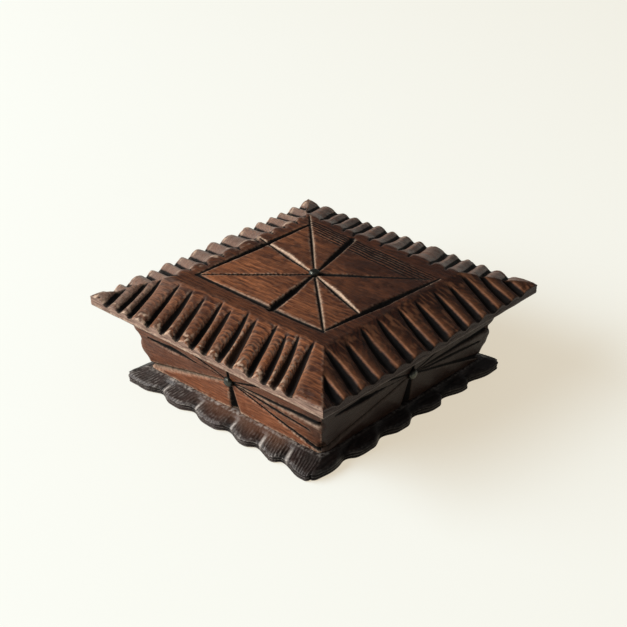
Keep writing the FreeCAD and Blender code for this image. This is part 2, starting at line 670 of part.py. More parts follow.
def make_rod(name, radius, length, x, y="0", z="0", turn="90"):
    """Cylinder along +X, or along another way that a pitch angle gives."""
    rod = doc.addObject("Part::Cylinder", name)
    bind(rod, Radius=radius, Height=length)
    place(rod, x=x, y=y, z=z, pitch=turn)
    return rod


def fuse(name, shapes):
    """Join several shapes into one."""
    joined = doc.addObject("Part::MultiFuse", name)
    joined.Shapes = shapes
    joined.Refine = True
    return joined


def make_leaf(label, wood_side, knuckles, bore):
    """Leaf about the pin axis on X, reaching along +Y, with the wood on its +Z or -Z side."""
    wide = "dims.hinge_width"
    knuckle = f"(({wide} - 2 * dims.knuckle_gap) / 3)"
    low = f"({PIN_OFFSET} - dims.leaf_thickness)" if wood_side > 0 else f"(-{PIN_OFFSET})"
    plate = make_box(f"{label}_plate", wide, f"dims.leaf_length - {LEAF_START}", "dims.leaf_thickness",
                     f"-{wide} / 2", LEAF_START, low)
    solids = [plate]
    for number in knuckles:
        start = f"(-{wide} / 2 + {number} * ({knuckle} + dims.knuckle_gap))"
        solids.append(make_rod(f"{label}_knuckle{number}", "dims.knuckle_radius", knuckle, start))
        solids.append(make_box(f"{label}_web{number}", knuckle, LEAF_START, "dims.leaf_thickness",
                               start, "0", low))
    cutters = [make_rod(f"{label}_bore", bore, f"{wide} + 2 * dims.cut_overrun",
                        f"-{wide} / 2 - dims.cut_overrun")]
    for end in HINGE_SIDES:
        cutters.append(make_countersink(f"{label}_screw_hole{end + 1}", wood_side, end))
    leaf = doc.addObject("Part::Cut", label)
    leaf.Label = label
    leaf.Base = fuse(f"{label}_solids", solids)
    leaf.Tool = fuse(f"{label}_holes", cutters)
    return leaf


def make_countersink(name, wood_side, end):
    """Screw hole through a leaf, opened for the screw's conical head on the face away from the wood."""
    cone = doc.addObject("Part::Cone", name)
    bind(cone, Radius1="dims.screw_head_radius + dims.shank_clearance",
         Radius2="dims.screw_shank_radius + dims.shank_clearance", Height=SCREW_HEAD_HEIGHT)
    face = f"{wood_side} * ({PIN_OFFSET} - dims.leaf_thickness)"
    x = f"{end} * dims.screw_spread / 2"
    turn = "0" if wood_side > 0 else "180"
    place(cone, x=x, y=SCREW_REACH, z=face, roll=turn)
    shank = make_rod(f"{name}_shank", "dims.screw_shank_radius + dims.shank_clearance",
                     "dims.leaf_thickness + dims.cut_overrun", x, SCREW_REACH, face, turn)
    return fuse(f"{name}_cutter", [cone, shank])


def make_pin(label):
    """Hinge pin along its own Z, with a small bevel at each end."""
    half = "(dims.hinge_width / 2 + dims.pin_overhang)"
    radius = "dims.pin_radius"
    small = f"({radius} - dims.pin_overhang)"
    bevel = f"({half} - dims.pin_overhang)"
    profile = (("0", half), ("0", f"-{half}"), (small, f"-{half}"), (radius, f"-{bevel}"), (radius, bevel),
               (small, half))
    return turned_piece(label, profile)


def make_hinges():
    """Two butt hinges, each a body leaf on the back wall, a lid leaf under the lid and a pin."""
    pieces = []
    for name, side in (("left", -1), ("right", 1)):
        spot = {"x": f"{side} * dims.hinge_spacing / 2", "y": PIN_Y, "z": PIN_Z}
        body_leaf = make_leaf(f"{name}_hinge_body_leaf", -1, (0, 2), "dims.pin_radius + dims.shank_clearance")
        place(body_leaf, **spot, roll=f"-90 deg - {FLARE}")
        lid_leaf = make_leaf(f"{name}_hinge_lid_leaf", 1, (1,), "dims.pin_radius + dims.pin_clearance")
        place(lid_leaf, **spot)
        pin = make_pin(f"{name}_hinge_pin")
        place(pin, **spot, pitch="90")
        pieces.extend((body_leaf, lid_leaf, pin))
    return pieces


def check_document():
    """Stop on any object that failed to rebuild."""
    for obj in doc.Objects:
        if "Invalid" in obj.State or "Error" in obj.State:
            raise RuntimeError(f"{obj.Label} failed: {obj.State}")


def export(pieces):
    """Check each piece's shape and write it as its own file."""
    os.makedirs("parts", exist_ok=True)
    for piece in pieces:
        shape = piece.Shape
        if shape.isNull() or not shape.isValid() or shape.Volume <= 0:
            raise RuntimeError(f"{piece.Label} has no valid shape")
        shape.exportStep(f"parts/{piece.Label}.step")


nodes = [make_lid_board(), make_plinth()]
nodes += [make_wall(wall) for wall in WALLS]
nodes += [make_wall_lining(wall) for wall in WALLS]
nodes += make_flat_linings()
nodes += make_studs()
nodes += make_hinges()
nodes += make_hinge_screws()
nodes += make_nails()
doc.recompute()
check_document()
export(nodes)
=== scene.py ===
"""Dresses the carved wooden jewelry box: hand-cut wood, felt linings, domed studs and brass hinges."""
import logging
import math
from dataclasses import dataclass
from enum import Enum

import bpy
import numpy as np
from mathutils import Matrix, Vector


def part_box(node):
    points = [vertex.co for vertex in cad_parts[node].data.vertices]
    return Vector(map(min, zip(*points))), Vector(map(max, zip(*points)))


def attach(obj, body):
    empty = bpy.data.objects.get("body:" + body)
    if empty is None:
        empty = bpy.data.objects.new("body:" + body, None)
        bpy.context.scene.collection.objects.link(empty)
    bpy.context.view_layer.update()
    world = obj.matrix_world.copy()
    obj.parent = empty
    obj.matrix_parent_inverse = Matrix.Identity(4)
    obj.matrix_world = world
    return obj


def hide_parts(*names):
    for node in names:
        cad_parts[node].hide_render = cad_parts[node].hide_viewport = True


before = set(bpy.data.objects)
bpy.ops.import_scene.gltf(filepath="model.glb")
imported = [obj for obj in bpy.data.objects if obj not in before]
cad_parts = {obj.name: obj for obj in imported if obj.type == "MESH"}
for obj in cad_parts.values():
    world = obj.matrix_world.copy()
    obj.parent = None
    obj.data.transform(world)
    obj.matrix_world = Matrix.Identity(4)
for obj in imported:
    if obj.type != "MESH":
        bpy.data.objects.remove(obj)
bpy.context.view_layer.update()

LOG = logging.getLogger("jewelry_box")
MM = 0.001
PHOTO_SIDE = 627
SENSOR = 36.0
LATTICE = 64
FRONT_STAR_SHIFT = 3.5
LID_STUD_FOOT = 62.3
STUD_SINK = 0.2


class Side(Enum):
    """The four sides of the square box, with the turn in degrees from the front one."""

    FRONT = 0
    RIGHT = 90
    BACK = 180
    LEFT = 270

    @property
    def label(self) -> str:
        """The side's name as the CAD nodes spell it."""
        return self.name.lower()

    def turned(self, points: np.ndarray) -> np.ndarray:
        """Turns points made for the front side round to this side.

        Args:
            points: An array whose last axis is x, y, z.

        Returns:
            The turned points, in the same shape.
        """
        cos, sin = round(math.cos(math.radians(self.value))), round(math.sin(math.radians(self.value)))
        x, y, z = np.moveaxis(points, -1, 0)
        return np.stack([x * cos - y * sin, x * sin + y * cos, z], axis=-1)


class Mask(Enum):
    """Vertex values that the finishes read."""

    CUT = "cut"
    # Marks rubbed wood and chips, and painted highlights on the flanks that face the light.
    BARE = "bare"
    BAND = "band"
    # Stain tone, and painted shade on the sides turned from the light.
    TONE = "tone"
    FIGURE = "figure"
    # Painted highlights along the lid's ridge edges, and a warm tint on the plinth's front ledge.
    CREST = "crest"
    ARRIS = "arris"
    HOLLOW = "hollow"


def smooth(value: np.ndarray, low: float, high: float) -> np.ndarray:
    """An eased step from 0 at low to 1 at high."""
    t = np.clip((value - low) / (high - low), 0.0, 1.0)
    return t * t * (3.0 - 2.0 * t)


def rumple(u: np.ndarray, v: np.ndarray, cell: float, seed: int) -> np.ndarray:
    """Smooth random waves over two coordinates.

    Args:
        u: First coordinate.
        v: Second coordinate, in the same shape.
        cell: Size of a wave, in the unit of the coordinates.
        seed: Seed of the waves.

    Returns:
        Values between -1 and 1.
    """
    lattice = np.random.default_rng(seed).uniform(-1.0, 1.0, (LATTICE, LATTICE))
    a, b = u / cell, v / cell
    i, j = np.floor(a).astype(int), np.floor(b).astype(int)
    fa, fb = smooth(a - i, 0.0, 1.0), smooth(b - j, 0.0, 1.0)

    def node(di: int, dj: int) -> np.ndarray:
        """The lattice value at a neighbouring node."""
        return lattice[(i + di) % LATTICE, (j + dj) % LATTICE]

    near = node(0, 0) * (1 - fb) + node(0, 1) * fb
    far = node(1, 0) * (1 - fb) + node(1, 1) * fb
    return near * (1 - fa) + far * fa


def soften(field: np.ndarray, passes: int) -> np.ndarray:
    """Rounds the arrises of a height grid with a small binomial blur.

    Args:
        field: Grid of values.
        passes: How often the blur runs.

    Returns:
        The blurred grid.
    """
    for _ in range(passes):
        for axis in (0, 1):
            padded = np.concatenate([field.take([0], axis), field, field.take([-1], axis)], axis)
            count = field.shape[axis]
            below = padded.take(range(count), axis)
            above = padded.take(range(2, count + 2), axis)
            field = 0.25 * below + 0.5 * field + 0.25 * above
    return field


@dataclass
class Gouge:
    """One straight hand-cut groove, pointed or blunt, over a plane in millimetres.

    Attributes:
        start: Where the groove starts.
        end: Where it ends.
        halves: Half widths at the start, the middle and the end.
        depths: Depths at the same places.
        ink: How dark the stain in it is.
        skew: How much wider one flank is than the other.
        chatter: How far the tool's steps show in the width.
        bare: How strong the painted highlight on one flank is, with the sign of that flank.
        lit_share: Share of the flank from the edge that the painted highlight covers.
    """

    start: tuple[float, float]
    end: tuple[float, float]
    halves: tuple[float, float, float]
    depths: tuple[float, float, float]
    ink: float = 1.0
    skew: float = 0.0
    chatter: float = 0.0
    bare: float = 0.0
    lit_share: float = 0.5

    def cut(self, x: np.ndarray, y: np.ndarray) -> tuple[np.ndarray, np.ndarray, np.ndarray]:
        """Works out the groove over a grid.

        Args:
            x: First coordinate of the grid.
            y: Second coordinate of the grid.

        Returns:
            The depth of the cut, how far it is stained and the painted highlight on one flank.
        """
        (x0, y0), (x1, y1) = self.start, self.end
        length = math.hypot(x1 - x0, y1 - y0)
        dx, dy = (x1 - x0) / length, (y1 - y0) / length
        t = ((x - x0) * dx + (y - y0) * dy) / length
        off = (y - y0) * dx - (x - x0) * dy
        stations = (0.0, 0.5, 1.0)
        half = np.interp(t, stations, self.halves)
        if self.chatter:
            half = half * (1.0 + self.chatter * (2.0 * ((t * length / 2.2) % 1.0) - 1.0))
        half = np.where(off > 0, half * (1.0 + self.skew), half * (1.0 - self.skew))
        past = np.maximum(np.maximum(-t, t - 1.0), 0.0) * length
        profile = np.clip(1.0 - np.hypot(off, past) / np.maximum(half, 0.05), 0.0, 1.0)
        depth = np.interp(t, stations, self.depths) * profile
        # Painted highlight: a pale stripe along the flank that faces the light, kept free of stain.
        line = smooth(profile, 0.03, 0.15) * smooth(profile, self.lit_share + 0.2, self.lit_share - 0.15)
        flank = abs(self.bare) * line * (off * self.bare > 0)
        stain = self.ink * smooth(profile, 0.02, 0.35) * (1.0 - flank)
        return depth, stain, flank


def carve(gouges: list[Gouge], x: np.ndarray, y: np.ndarray) -> tuple[np.ndarray, np.ndarray, np.ndarray]:
    """Joins the grooves of a pattern into one cut.

    Args:
        gouges: The grooves.
        x: First coordinate of the grid.
        y: Second coordinate of the grid.

    Returns:
        The depth, the stain and the painted flank highlights over the grid.
    """
    depth, stain, bare = np.zeros_like(x), np.zeros_like(x), np.zeros_like(x)
    for gouge in gouges:
        one_depth, one_stain, one_bare_and_lit = gouge.cut(x, y)
        deeper = one_depth > depth
        depth = np.where(deeper, one_depth, depth)
        stain = np.where(deeper, one_stain, stain)
        bare = np.where(deeper, one_bare_and_lit, bare)
    return depth, stain, bare


def rim_of(grid: np.ndarray) -> np.ndarray:
    """The outer loop of a grid, anticlockwise seen from outside, without the repeated first entry."""
    return np.concatenate([grid[0, :-1], grid[:-1, -1], grid[-1, :0:-1], grid[:0:-1, 0]])


@dataclass
class Shell:
    """A closed mesh in the making: points in millimetres, faces and vertex masks."""

    points: np.ndarray
    faces: list[list[int]]
    masks: dict[Mask, np.ndarray]
    plain: int = 0

    @classmethod
    def board(cls, face: np.ndarray, loops: list[np.ndarray], masks: dict[Mask, np.ndarray],
              rim_masks: dict[Mask, np.ndarray], plain_loops: int = 1) -> "Shell":
        """Closes a carved face with loops round its edge and a flat far side.

        Args:
            face: Grid of points, columns to the right and rows upwards seen from outside.
            loops: Loops of points that follow the face's rim towards the far side.
            masks: Grids of vertex values over the face.
            rim_masks: Values of each mask on the loops, a row for each loop or one row for all.
            plain_loops: How many of the last loops are sawn flat, without rubbed arrises.

        Returns:
            The closed shell.
        """
        rows, cols = face.shape[:2]
        number = np.arange(rows * cols).reshape(rows, cols)
        quads = np.stack([number[:-1, :-1], number[:-1, 1:], number[1:, 1:], number[1:, :-1]], -1)
        faces = quads.reshape(-1, 4).tolist()
        upper = rim_of(number)
        base = rows * cols
        for loop in loops:
            lower = base + np.arange(len(loop))
            faces += cls.strip(upper, lower)
            upper, base = lower, base + len(loop)
        faces += [[b, a, base] for a, b in zip(upper.tolist(), np.roll(upper, -1).tolist())]
        centre = loops[-1].mean(axis=0)
        points = np.concatenate([face.reshape(-1, 3), *loops, centre[None]])
        values = {}
        for mask in Mask:
            top = masks.get(mask, np.zeros((rows, cols))).reshape(-1)
            rim = np.broadcast_to(rim_masks.get(mask, np.zeros(1)), (len(loops), len(loops[0])))
            values[mask] = np.concatenate([top, rim.reshape(-1), rim[-1, :1]])
        return cls(points, faces, values, plain_loops * len(loops[0]) + 1)

    @classmethod
    def rings(cls, rings: list[np.ndarray], masks: dict[Mask, np.ndarray]) -> "Shell":
        """Closes a stack of loops with a fan at each end.

        Args:
            rings: Loops of points, anticlockwise seen from the first one's end.
            masks: One value for each point of each loop.

        Returns:
            The closed shell.
        """
        count = len(rings[0])
        faces = []
        for row in range(len(rings) - 1):
            faces += cls.strip(row * count + np.arange(count), (row + 1) * count + np.arange(count))
        first, last = len(rings) * count, len(rings) * count + 1
        end = (len(rings) - 1) * count
        for i in range(count):
            j = (i + 1) % count
            faces.append([first, i, j])
            faces.append([last, end + j, end + i])
        points = np.concatenate([*rings, rings[0].mean(axis=0)[None], rings[-1].mean(axis=0)[None]])
        values = {}
        for mask in Mask:
            given = masks.get(mask, np.zeros((len(rings), count))).reshape(-1)
            values[mask] = np.concatenate([given, [0.0, 0.0]])
        return cls(points, faces, values)

    @staticmethod
    def strip(upper: np.ndarray, lower: np.ndarray) -> list[list[int]]:
        """Quads between two loops of vertex numbers."""
        return np.stack([upper, lower, np.roll(lower, -1), np.roll(upper, -1)], -1).tolist()

    def piece(self, name: str, relief_steps: int, relief_scale: float) -> bpy.types.Object:
        """Makes the Blender object and works out its rubbed arrises and hollows.

        Args:
            name: Name of the piece.
            relief_steps: How far the relief is averaged, in edges.
            relief_scale: Relief in millimetres that counts as fully rubbed.

        Returns:
            The new object, in metres.
        """
        mesh = bpy.data.meshes.new(name)
        mesh.from_pydata((self.points * MM).tolist(), [], self.faces)
        mesh.update()
        mesh.shade_smooth()
        self.relief(mesh, relief_steps, relief_scale)
        for mask, values in self.masks.items():
            layer = mesh.attributes.new(mask.value, "FLOAT", "POINT")
            layer.data.foreach_set("value", values.astype(np.float32))
        piece = bpy.data.objects.new(name, mesh)
        bpy.context.scene.collection.objects.link(piece)
        return piece

    def relief(self, mesh: bpy.types.Mesh, steps: int, scale: float) -> None:
        """Fills the arris and hollow masks from the mesh's own relief.

        Args:
            mesh: The mesh.
            steps: How far the relief is averaged, in edges.
            scale: Relief in millimetres that counts as full.
        """
        count = len(self.points)
        edges = np.empty(len(mesh.edges) * 2, dtype=np.int64)
        mesh.edges.foreach_get("vertices", edges)
        tail, head = edges.reshape(-1, 2).T
        near, far = np.concatenate([tail, head]), np.concatenate([head, tail])
        degree = np.bincount(near, minlength=count)
        normals = np.empty(count * 3, dtype=np.float32)
        mesh.vertices.foreach_get("normal", normals)
        mean = self.points.copy()
        for _ in range(steps):
            columns = [np.bincount(near, weights=mean[far, axis], minlength=count) for axis in range(3)]
            mean = 0.5 * mean + 0.5 * np.stack(columns, -1) / degree[:, None]
        rise = ((self.points - mean) * normals.reshape(-1, 3)).sum(axis=1) / scale
        rise[count - self.plain:] = 0.0
        self.masks[Mask.ARRIS] = np.clip(rise, 0.0, 1.0)
        self.masks[Mask.HOLLOW] = np.clip(-rise, 0.0, 1.0)


class Graph:
    """Adds nodes to a shader node tree and links them."""

    def __init__(self, tree: bpy.types.NodeTree) -> None:
        """Keeps the tree."""
        self.tree = tree

    def add(self, kind: str, inputs: dict[int | str, object], output: int | str = 0,
            **settings: object) -> bpy.types.NodeSocket:
        """Adds a node.

        Args:
            kind: Node type without its ShaderNode prefix.
            inputs: Sockets to link or values to set, by input name or number.
            output: The output that is handed back.
            **settings: Properties of the node.

        Returns:
            The chosen output socket.
        """
        node = self.tree.nodes.new("ShaderNode" + kind)
        for key, value in settings.items():
            setattr(node, key, value)
        self.feed(node, inputs)
        return node.outputs[output]

    def feed(self, node: bpy.types.Node, inputs: dict[int | str, object]) -> None:
        """Links or sets a node's inputs."""
        for key, value in inputs.items():
            if isinstance(value, bpy.types.NodeSocket):
                self.tree.links.new(value, node.inputs[key])
            else:
                node.inputs[key].default_value = value

    def math(self, operation: str, first: object, second: object = 0.0) -> bpy.types.NodeSocket:
        """A Math node with two operands."""
        return self.add("Math", {0: first, 1: second}, operation=operation)

    def ease(self, value: object, low: float, high: float) -> bpy.types.NodeSocket:
        """An eased step from 0 at low to 1 at high."""
        inputs = {"Value": value, "From Min": low, "From Max": high}
        return self.add("MapRange", inputs, interpolation_type="SMOOTHSTEP")

    def span(self, value: object, low: float, high: float) -> bpy.types.NodeSocket:
        """Spreads a 0..1 value over another span."""
        return self.add("MapRange", {"Value": value, "To Min": low, "To Max": high})

    def tint(self, factor: object, first: object, second: object, blend: str = "MIX") -> bpy.types.NodeSocket:
        """Mixes two colours by a factor."""
        inputs = {0: factor, 6: first, 7: second}
        return self.add("Mix", inputs, 2, data_type="RGBA", blend_type=blend)

    def noise(self, vector: object, scale: float, detail: float) -> bpy.types.NodeSocket:
        """A noise value over a vector."""
        return self.add("TexNoise", {"Vector": vector, "Scale": scale, "Detail": detail})

    def stretched(self, vector: object, scale: tuple[float, float, float]) -> bpy.types.NodeSocket:
        """A vector scaled along each axis."""
        return self.add("VectorMath", {0: vector, 1: scale}, operation="MULTIPLY")

    def effect(self, name: str, inputs: dict[str, object]) -> dict[str, bpy.types.NodeSocket]:
        """Places a shared effect group.

        Args:
            name: Name of the node group.
            inputs: Sockets to link or values to set, by input name.

        Returns:
            The group's outputs by name.
        """
        node = self.tree.nodes.new("ShaderNodeGroup")
        node.node_tree = bpy.data.node_groups[name]
        self.feed(node, inputs)
        return {socket.name: socket for socket in node.outputs}


class Effects:
    """The shader node groups that several finishes share."""

    RINGS = "growth_rings"
    WEAR = "carver_wear_and_highlight"
    PATINA = "metal_patina"

    @staticmethod
    def begin(name: str, inputs: dict[str, str], outputs: list[str]) -> tuple[Graph, dict, dict]:
        """Starts a node group with its sockets.

        Args:
            name: Name of the group.
            inputs: Input names with Float or Vector.
            outputs: Names of the value outputs.

        Returns:
            The graph, the input sockets by name and the output sockets by name.
        """
        tree = bpy.data.node_groups.new(name, "ShaderNodeTree")
        for label, kind in inputs.items():
            tree.interface.new_socket(label, in_out="INPUT", socket_type="NodeSocket" + kind)
        for label in outputs:
            tree.interface.new_socket(label, in_out="OUTPUT", socket_type="NodeSocketFloat")
        enter, leave = tree.nodes.new("NodeGroupInput"), tree.nodes.new("NodeGroupOutput")
        given = {socket.name: socket for socket in enter.outputs if socket.name}
        wanted = {socket.name: socket for socket in leave.inputs if socket.name}
        return Graph(tree), given, wanted

    @classmethod
    def build(cls) -> None:
        """Builds every shared group."""
        cls.growth_rings()
        cls.carver_wear_and_highlight()
        cls.metal_patina()

    @classmethod
    def growth_rings(cls) -> None:
        """Growth rings round an axis along x, with fibre streaks and a slow change of tone."""
        inputs = {"Vector": "Vector", "Spacing": "Float", "Wander": "Float"}
        graph, given, wanted = cls.begin(cls.RINGS, inputs, ["Ring", "Fibre", "Blotch"])
        vector = given["Vector"]
        slow = graph.noise(graph.stretched(vector, (0.008, 0.03, 0.03)), 1.0, 3.0)
        drift = graph.math("MULTIPLY", graph.math("SUBTRACT", slow, 0.5), given["Wander"])
        kink = graph.noise(graph.stretched(vector, (0.16, 0.3, 0.3)), 1.0, 2.0)
        drift = graph.math("ADD", drift, graph.math("MULTIPLY", kink, 1.4))
        across = graph.stretched(vector, (0.0, 1.0, 1.0))
        radius = graph.add("VectorMath", {0: across}, 1, operation="LENGTH")
        phase = graph.math("FRACT", graph.math("DIVIDE", graph.math("ADD", radius, drift), given["Spacing"]))
        drop = graph.math("SUBTRACT", 1.0, graph.ease(phase, 0.8, 1.0))
        late = graph.math("MULTIPLY", graph.ease(phase, 0.12, 0.62), drop)
        patchy = graph.ease(graph.noise(graph.stretched(vector, (0.12, 0.12, 0.12)), 1.0, 2.0), 0.3, 0.62)
        late = graph.math("MULTIPLY", late, graph.span(patchy, 0.45, 1.0))
        fine = graph.noise(graph.stretched(vector, (0.11, 2.6, 2.6)), 1.0, 4.0)
        broad = graph.noise(graph.stretched(vector, (0.018, 0.075, 0.075)), 1.0, 3.0)
        links = graph.tree.links
        links.new(late, wanted["Ring"])
        links.new(graph.ease(fine, 0.34, 0.66), wanted["Fibre"])
        links.new(graph.ease(broad, 0.3, 0.7), wanted["Blotch"])

    @classmethod
    def carver_wear_and_highlight(cls) -> None:
        """Stain that lies in the cuts and hollows, rubbed pale on the arrises, and a painted highlight on the
        flanks that face the light.
        """
        masks = ("Cut", "Arris", "Hollow", "Bare", "Tone")
        inputs = {"Vector": "Vector", **{mask: "Float" for mask in masks}}
        graph, given, wanted = cls.begin(cls.WEAR, inputs, ["Stain", "Wear"])
        speck = graph.noise(given["Vector"], 0.55, 4.0)
        patch = graph.noise(given["Vector"], 0.12, 3.0)
        grime = graph.math("ADD", given["Cut"], graph.math("MULTIPLY", given["Hollow"], 0.75))
        grime = graph.math("SUBTRACT", grime, graph.math("MULTIPLY", graph.math("SUBTRACT", speck, 0.5), 0.5))
        stain = graph.ease(grime, 0.12, 0.75)
        rubbed = graph.math("MULTIPLY", given["Arris"], graph.ease(speck, 0.36, 0.62))
        rubbed = graph.math("MULTIPLY", rubbed, graph.span(graph.ease(patch, 0.35, 0.65), 0.3, 0.9))
        rubbed = graph.math("MULTIPLY", rubbed, graph.span(given["Tone"], 1.0, 0.1))
        # The chips carry rubbed spots and a painted highlight on the flanks that face the light.
        chips = graph.math("MULTIPLY", given["Bare"], graph.span(graph.ease(speck, 0.34, 0.6), 0.5, 1.0))
        rub_and_highlight = graph.math("MAXIMUM", rubbed, chips)
        graph.tree.links.new(stain, wanted["Stain"])
        graph.tree.links.new(graph.add("Clamp", {"Value": rub_and_highlight}), wanted["Wear"])

    @classmethod
    def metal_patina(cls) -> None:
        """Tarnish in patches and fine dents for old metal."""
        inputs = {"Vector": "Vector", "Grain": "Float"}
        graph, given, wanted = cls.begin(cls.PATINA, inputs, ["Tarnish", "Dents"])
        scaled = graph.add("VectorMath", {0: given["Vector"], 3: given["Grain"]}, operation="SCALE")
        graph.tree.links.new(graph.ease(graph.noise(scaled, 0.5, 4.0), 0.35, 0.65), wanted["Tarnish"])
        graph.tree.links.new(graph.noise(scaled, 1.6, 3.0), wanted["Dents"])


def new_material(name: str) -> tuple[bpy.types.Material, Graph, bpy.types.NodeSocket]:
    """Starts a material.

    Args:
        name: Name of the material.

    Returns:
        The material, its graph and the surface socket of its output.
    """
    material = bpy.data.materials.new(name)
    material.use_nodes = True
    material.node_tree.nodes.clear()
    output = material.node_tree.nodes.new("ShaderNodeOutputMaterial")
    return material, Graph(material.node_tree), output.inputs["Surface"]


def mask_value(graph: Graph, mask: Mask) -> bpy.types.NodeSocket:
    """Reads a vertex mask in a material."""
    return graph.add("Attribute", {}, "Fac", attribute_name=mask.value)


def place_in_mm(graph: Graph, moved: tuple[float, float, float] = (0.0, 0.0, 0.0),
                turned: tuple[float, float, float] = (0.0, 0.0, 0.0)) -> bpy.types.NodeSocket:
    """The place on a piece, in millimetres.

    Args:
        graph: The material's graph.
        moved: Offset in millimetres.
        turned: Turn in radians.

    Returns:
        The vector socket.
    """
    place = graph.add("TexCoord", {}, "Object")
    inputs = {"Vector": place, "Location": moved, "Rotation": turned, "Scale": (1.0 / MM,) * 3}
    return graph.add("Mapping", inputs)


Colour = tuple[float, float, float, float]


def rgb(red: float, green: float, blue: float) -> Colour:
    """A linear colour with full alpha."""
    return (red, green, blue, 1.0)


@dataclass(frozen=True)
class WoodFinish:
    """Stained and varnished softwood, rubbed pale on the arrises, with painted shade and painted highlights
    laid on it.
    """

    name: str
    early: Colour
    late: Colour
    blotch: Colour
    band: Colour
    tone_and_shade_dark: Colour
    stain: Colour
    worn: Colour
    highlight_and_warm_red: Colour
    pith: tuple[float, float, float]
    turn: tuple[float, float, float] = (0.0, 0.0, 0.0)
    spacing: float = 1.6
    wander: float = 9.0
    rough: tuple[float, float] = (0.45, 0.8)
    sheen: float = 0.14
    coat_rough: float = 0.28
    specular: float = 0.1
    blotch_share: float = 0.7
    fibre: tuple[Colour, Colour] = (rgb(0.4, 0.36, 0.34), rgb(1.12, 1.1, 1.08))
    bump_strength: float = 0.35
    bump_depth: float = 0.00025

    def material(self) -> bpy.types.Material:
        """Builds the finish as a material."""
        material, graph, surface = new_material(self.name)
        vector = place_in_mm(graph, self.pith, self.turn)
        grain = {"Vector": vector, "Spacing": self.spacing, "Wander": self.wander}
        rings = graph.effect(Effects.RINGS, grain)
        read = (Mask.CUT, Mask.ARRIS, Mask.HOLLOW, Mask.BARE, Mask.TONE)
        masks = {mask.name.title(): mask_value(graph, mask) for mask in read}
        rub_and_highlight = graph.effect(Effects.WEAR, {"Vector": vector, **masks})
        figure = graph.math("MULTIPLY", rings["Ring"], mask_value(graph, Mask.FIGURE))
        colour = graph.tint(figure, self.early, self.late)
        colour = graph.tint(graph.math("MULTIPLY", rings["Blotch"], self.blotch_share), colour, self.blotch)
        colour = graph.tint(mask_value(graph, Mask.BAND), colour, self.band)
        # Painted shade: the tone mask darkens the sides turned from the light, besides the stain's own tone.
        colour = graph.tint(masks["Tone"], colour, self.tone_and_shade_dark, "MULTIPLY")
        shade = graph.tint(rings["Fibre"], *self.fibre)
        colour = graph.tint(1.0, colour, shade, "MULTIPLY")
        colour = graph.tint(rub_and_highlight["Stain"], colour, self.stain)
        # Painted highlight: red along the lit edges of the lid's ridges; on the plinth a warm tint of its
        # own.
        colour = graph.tint(mask_value(graph, Mask.CREST), colour, self.highlight_and_warm_red)
        # Pale of rubbed arrises and chips, and a painted highlight on the flanks that face the light.
        colour = graph.tint(rub_and_highlight["Wear"], colour, self.worn)
        rough = graph.span(rub_and_highlight["Stain"], *self.rough)
        varnish = graph.span(rub_and_highlight["Stain"], self.sheen, 0.0)
        height = graph.math("ADD", graph.math("MULTIPLY", rings["Ring"], 0.5), rings["Fibre"])
        bump = {"Height": height, "Strength": self.bump_strength, "Distance": self.bump_depth}
        shader = graph.add("BsdfPrincipled", {
            "Base Color": colour, "Roughness": rough, "Normal": graph.add("Bump", bump),
            "Specular IOR Level": self.specular, "Coat Weight": varnish, "Coat Roughness": self.coat_rough})
        material.node_tree.links.new(shader, surface)
        return material


@dataclass(frozen=True)
class MetalFinish:
    """Old metal with tarnish in its low places and a rubbed crown."""

    name: str
    bright: Colour
    tarnish: Colour
    rough: tuple[float, float]
    grain: float

    def material(self) -> bpy.types.Material:
        """Builds the finish as a material."""
        material, graph, surface = new_material(self.name)
        vector = place_in_mm(graph)
        patina = graph.effect(Effects.PATINA, {"Vector": vector, "Grain": self.grain})
        rubbed = graph.math("SUBTRACT", patina["Tarnish"], mask_value(graph, Mask.BARE))
        dull = graph.add("Clamp", {"Value": rubbed})
        colour = graph.tint(dull, self.bright, self.tarnish)
        rough = graph.span(dull, *self.rough)
        metal = graph.span(dull, 1.0, 0.45)
        normal = graph.add("Bump", {"Height": patina["Dents"], "Strength": 0.3, "Distance": 0.0002})
        shader = graph.add("BsdfPrincipled", {
            "Base Color": colour, "Roughness": rough, "Metallic": metal, "Normal": normal})
        material.node_tree.links.new(shader, surface)
        return material


@dataclass(frozen=True)
class FeltFinish:
    """Short wool felt."""

    name: str
    dark: Colour
    light: Colour

    def material(self) -> bpy.types.Material:
        """Builds the finish as a material."""
        material, graph, surface = new_material(self.name)
        vector = place_in_mm(graph)
        nap = graph.noise(vector, 2.4, 5.0)
        cloud = graph.noise(vector, 0.06, 3.0)
        tone = graph.math("ADD", graph.math("MULTIPLY", nap, 0.7), graph.math("MULTIPLY", cloud, 0.3))
        colour = graph.tint(graph.ease(tone, 0.35, 0.65), self.dark, self.light)
        normal = graph.add("Bump", {"Height": nap, "Strength": 0.5, "Distance": 0.0003})
        shader = graph.add("BsdfPrincipled", {
            "Base Color": colour, "Roughness": 0.95, "Normal": normal, "Specular IOR Level": 0.1,
            "Sheen Weight": 0.35, "Sheen Roughness": 0.5})
        material.node_tree.links.new(shader, surface)
        return material


def finish_piece(piece: bpy.types.Object, material: bpy.types.Material, body: str, node: str) -> None:
    """Dresses a new piece and ties it to the CAD frame.

    Args:
        piece: The piece.
        material: Its finish.
        body: The CAD body that carries it.
        node: The CAD node that it stands for.
    """
    piece.data.materials.append(material)
    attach(piece, body)
    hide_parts(node)
    LOG.info("%s: %d vertices", piece.name, len(piece.data.vertices))


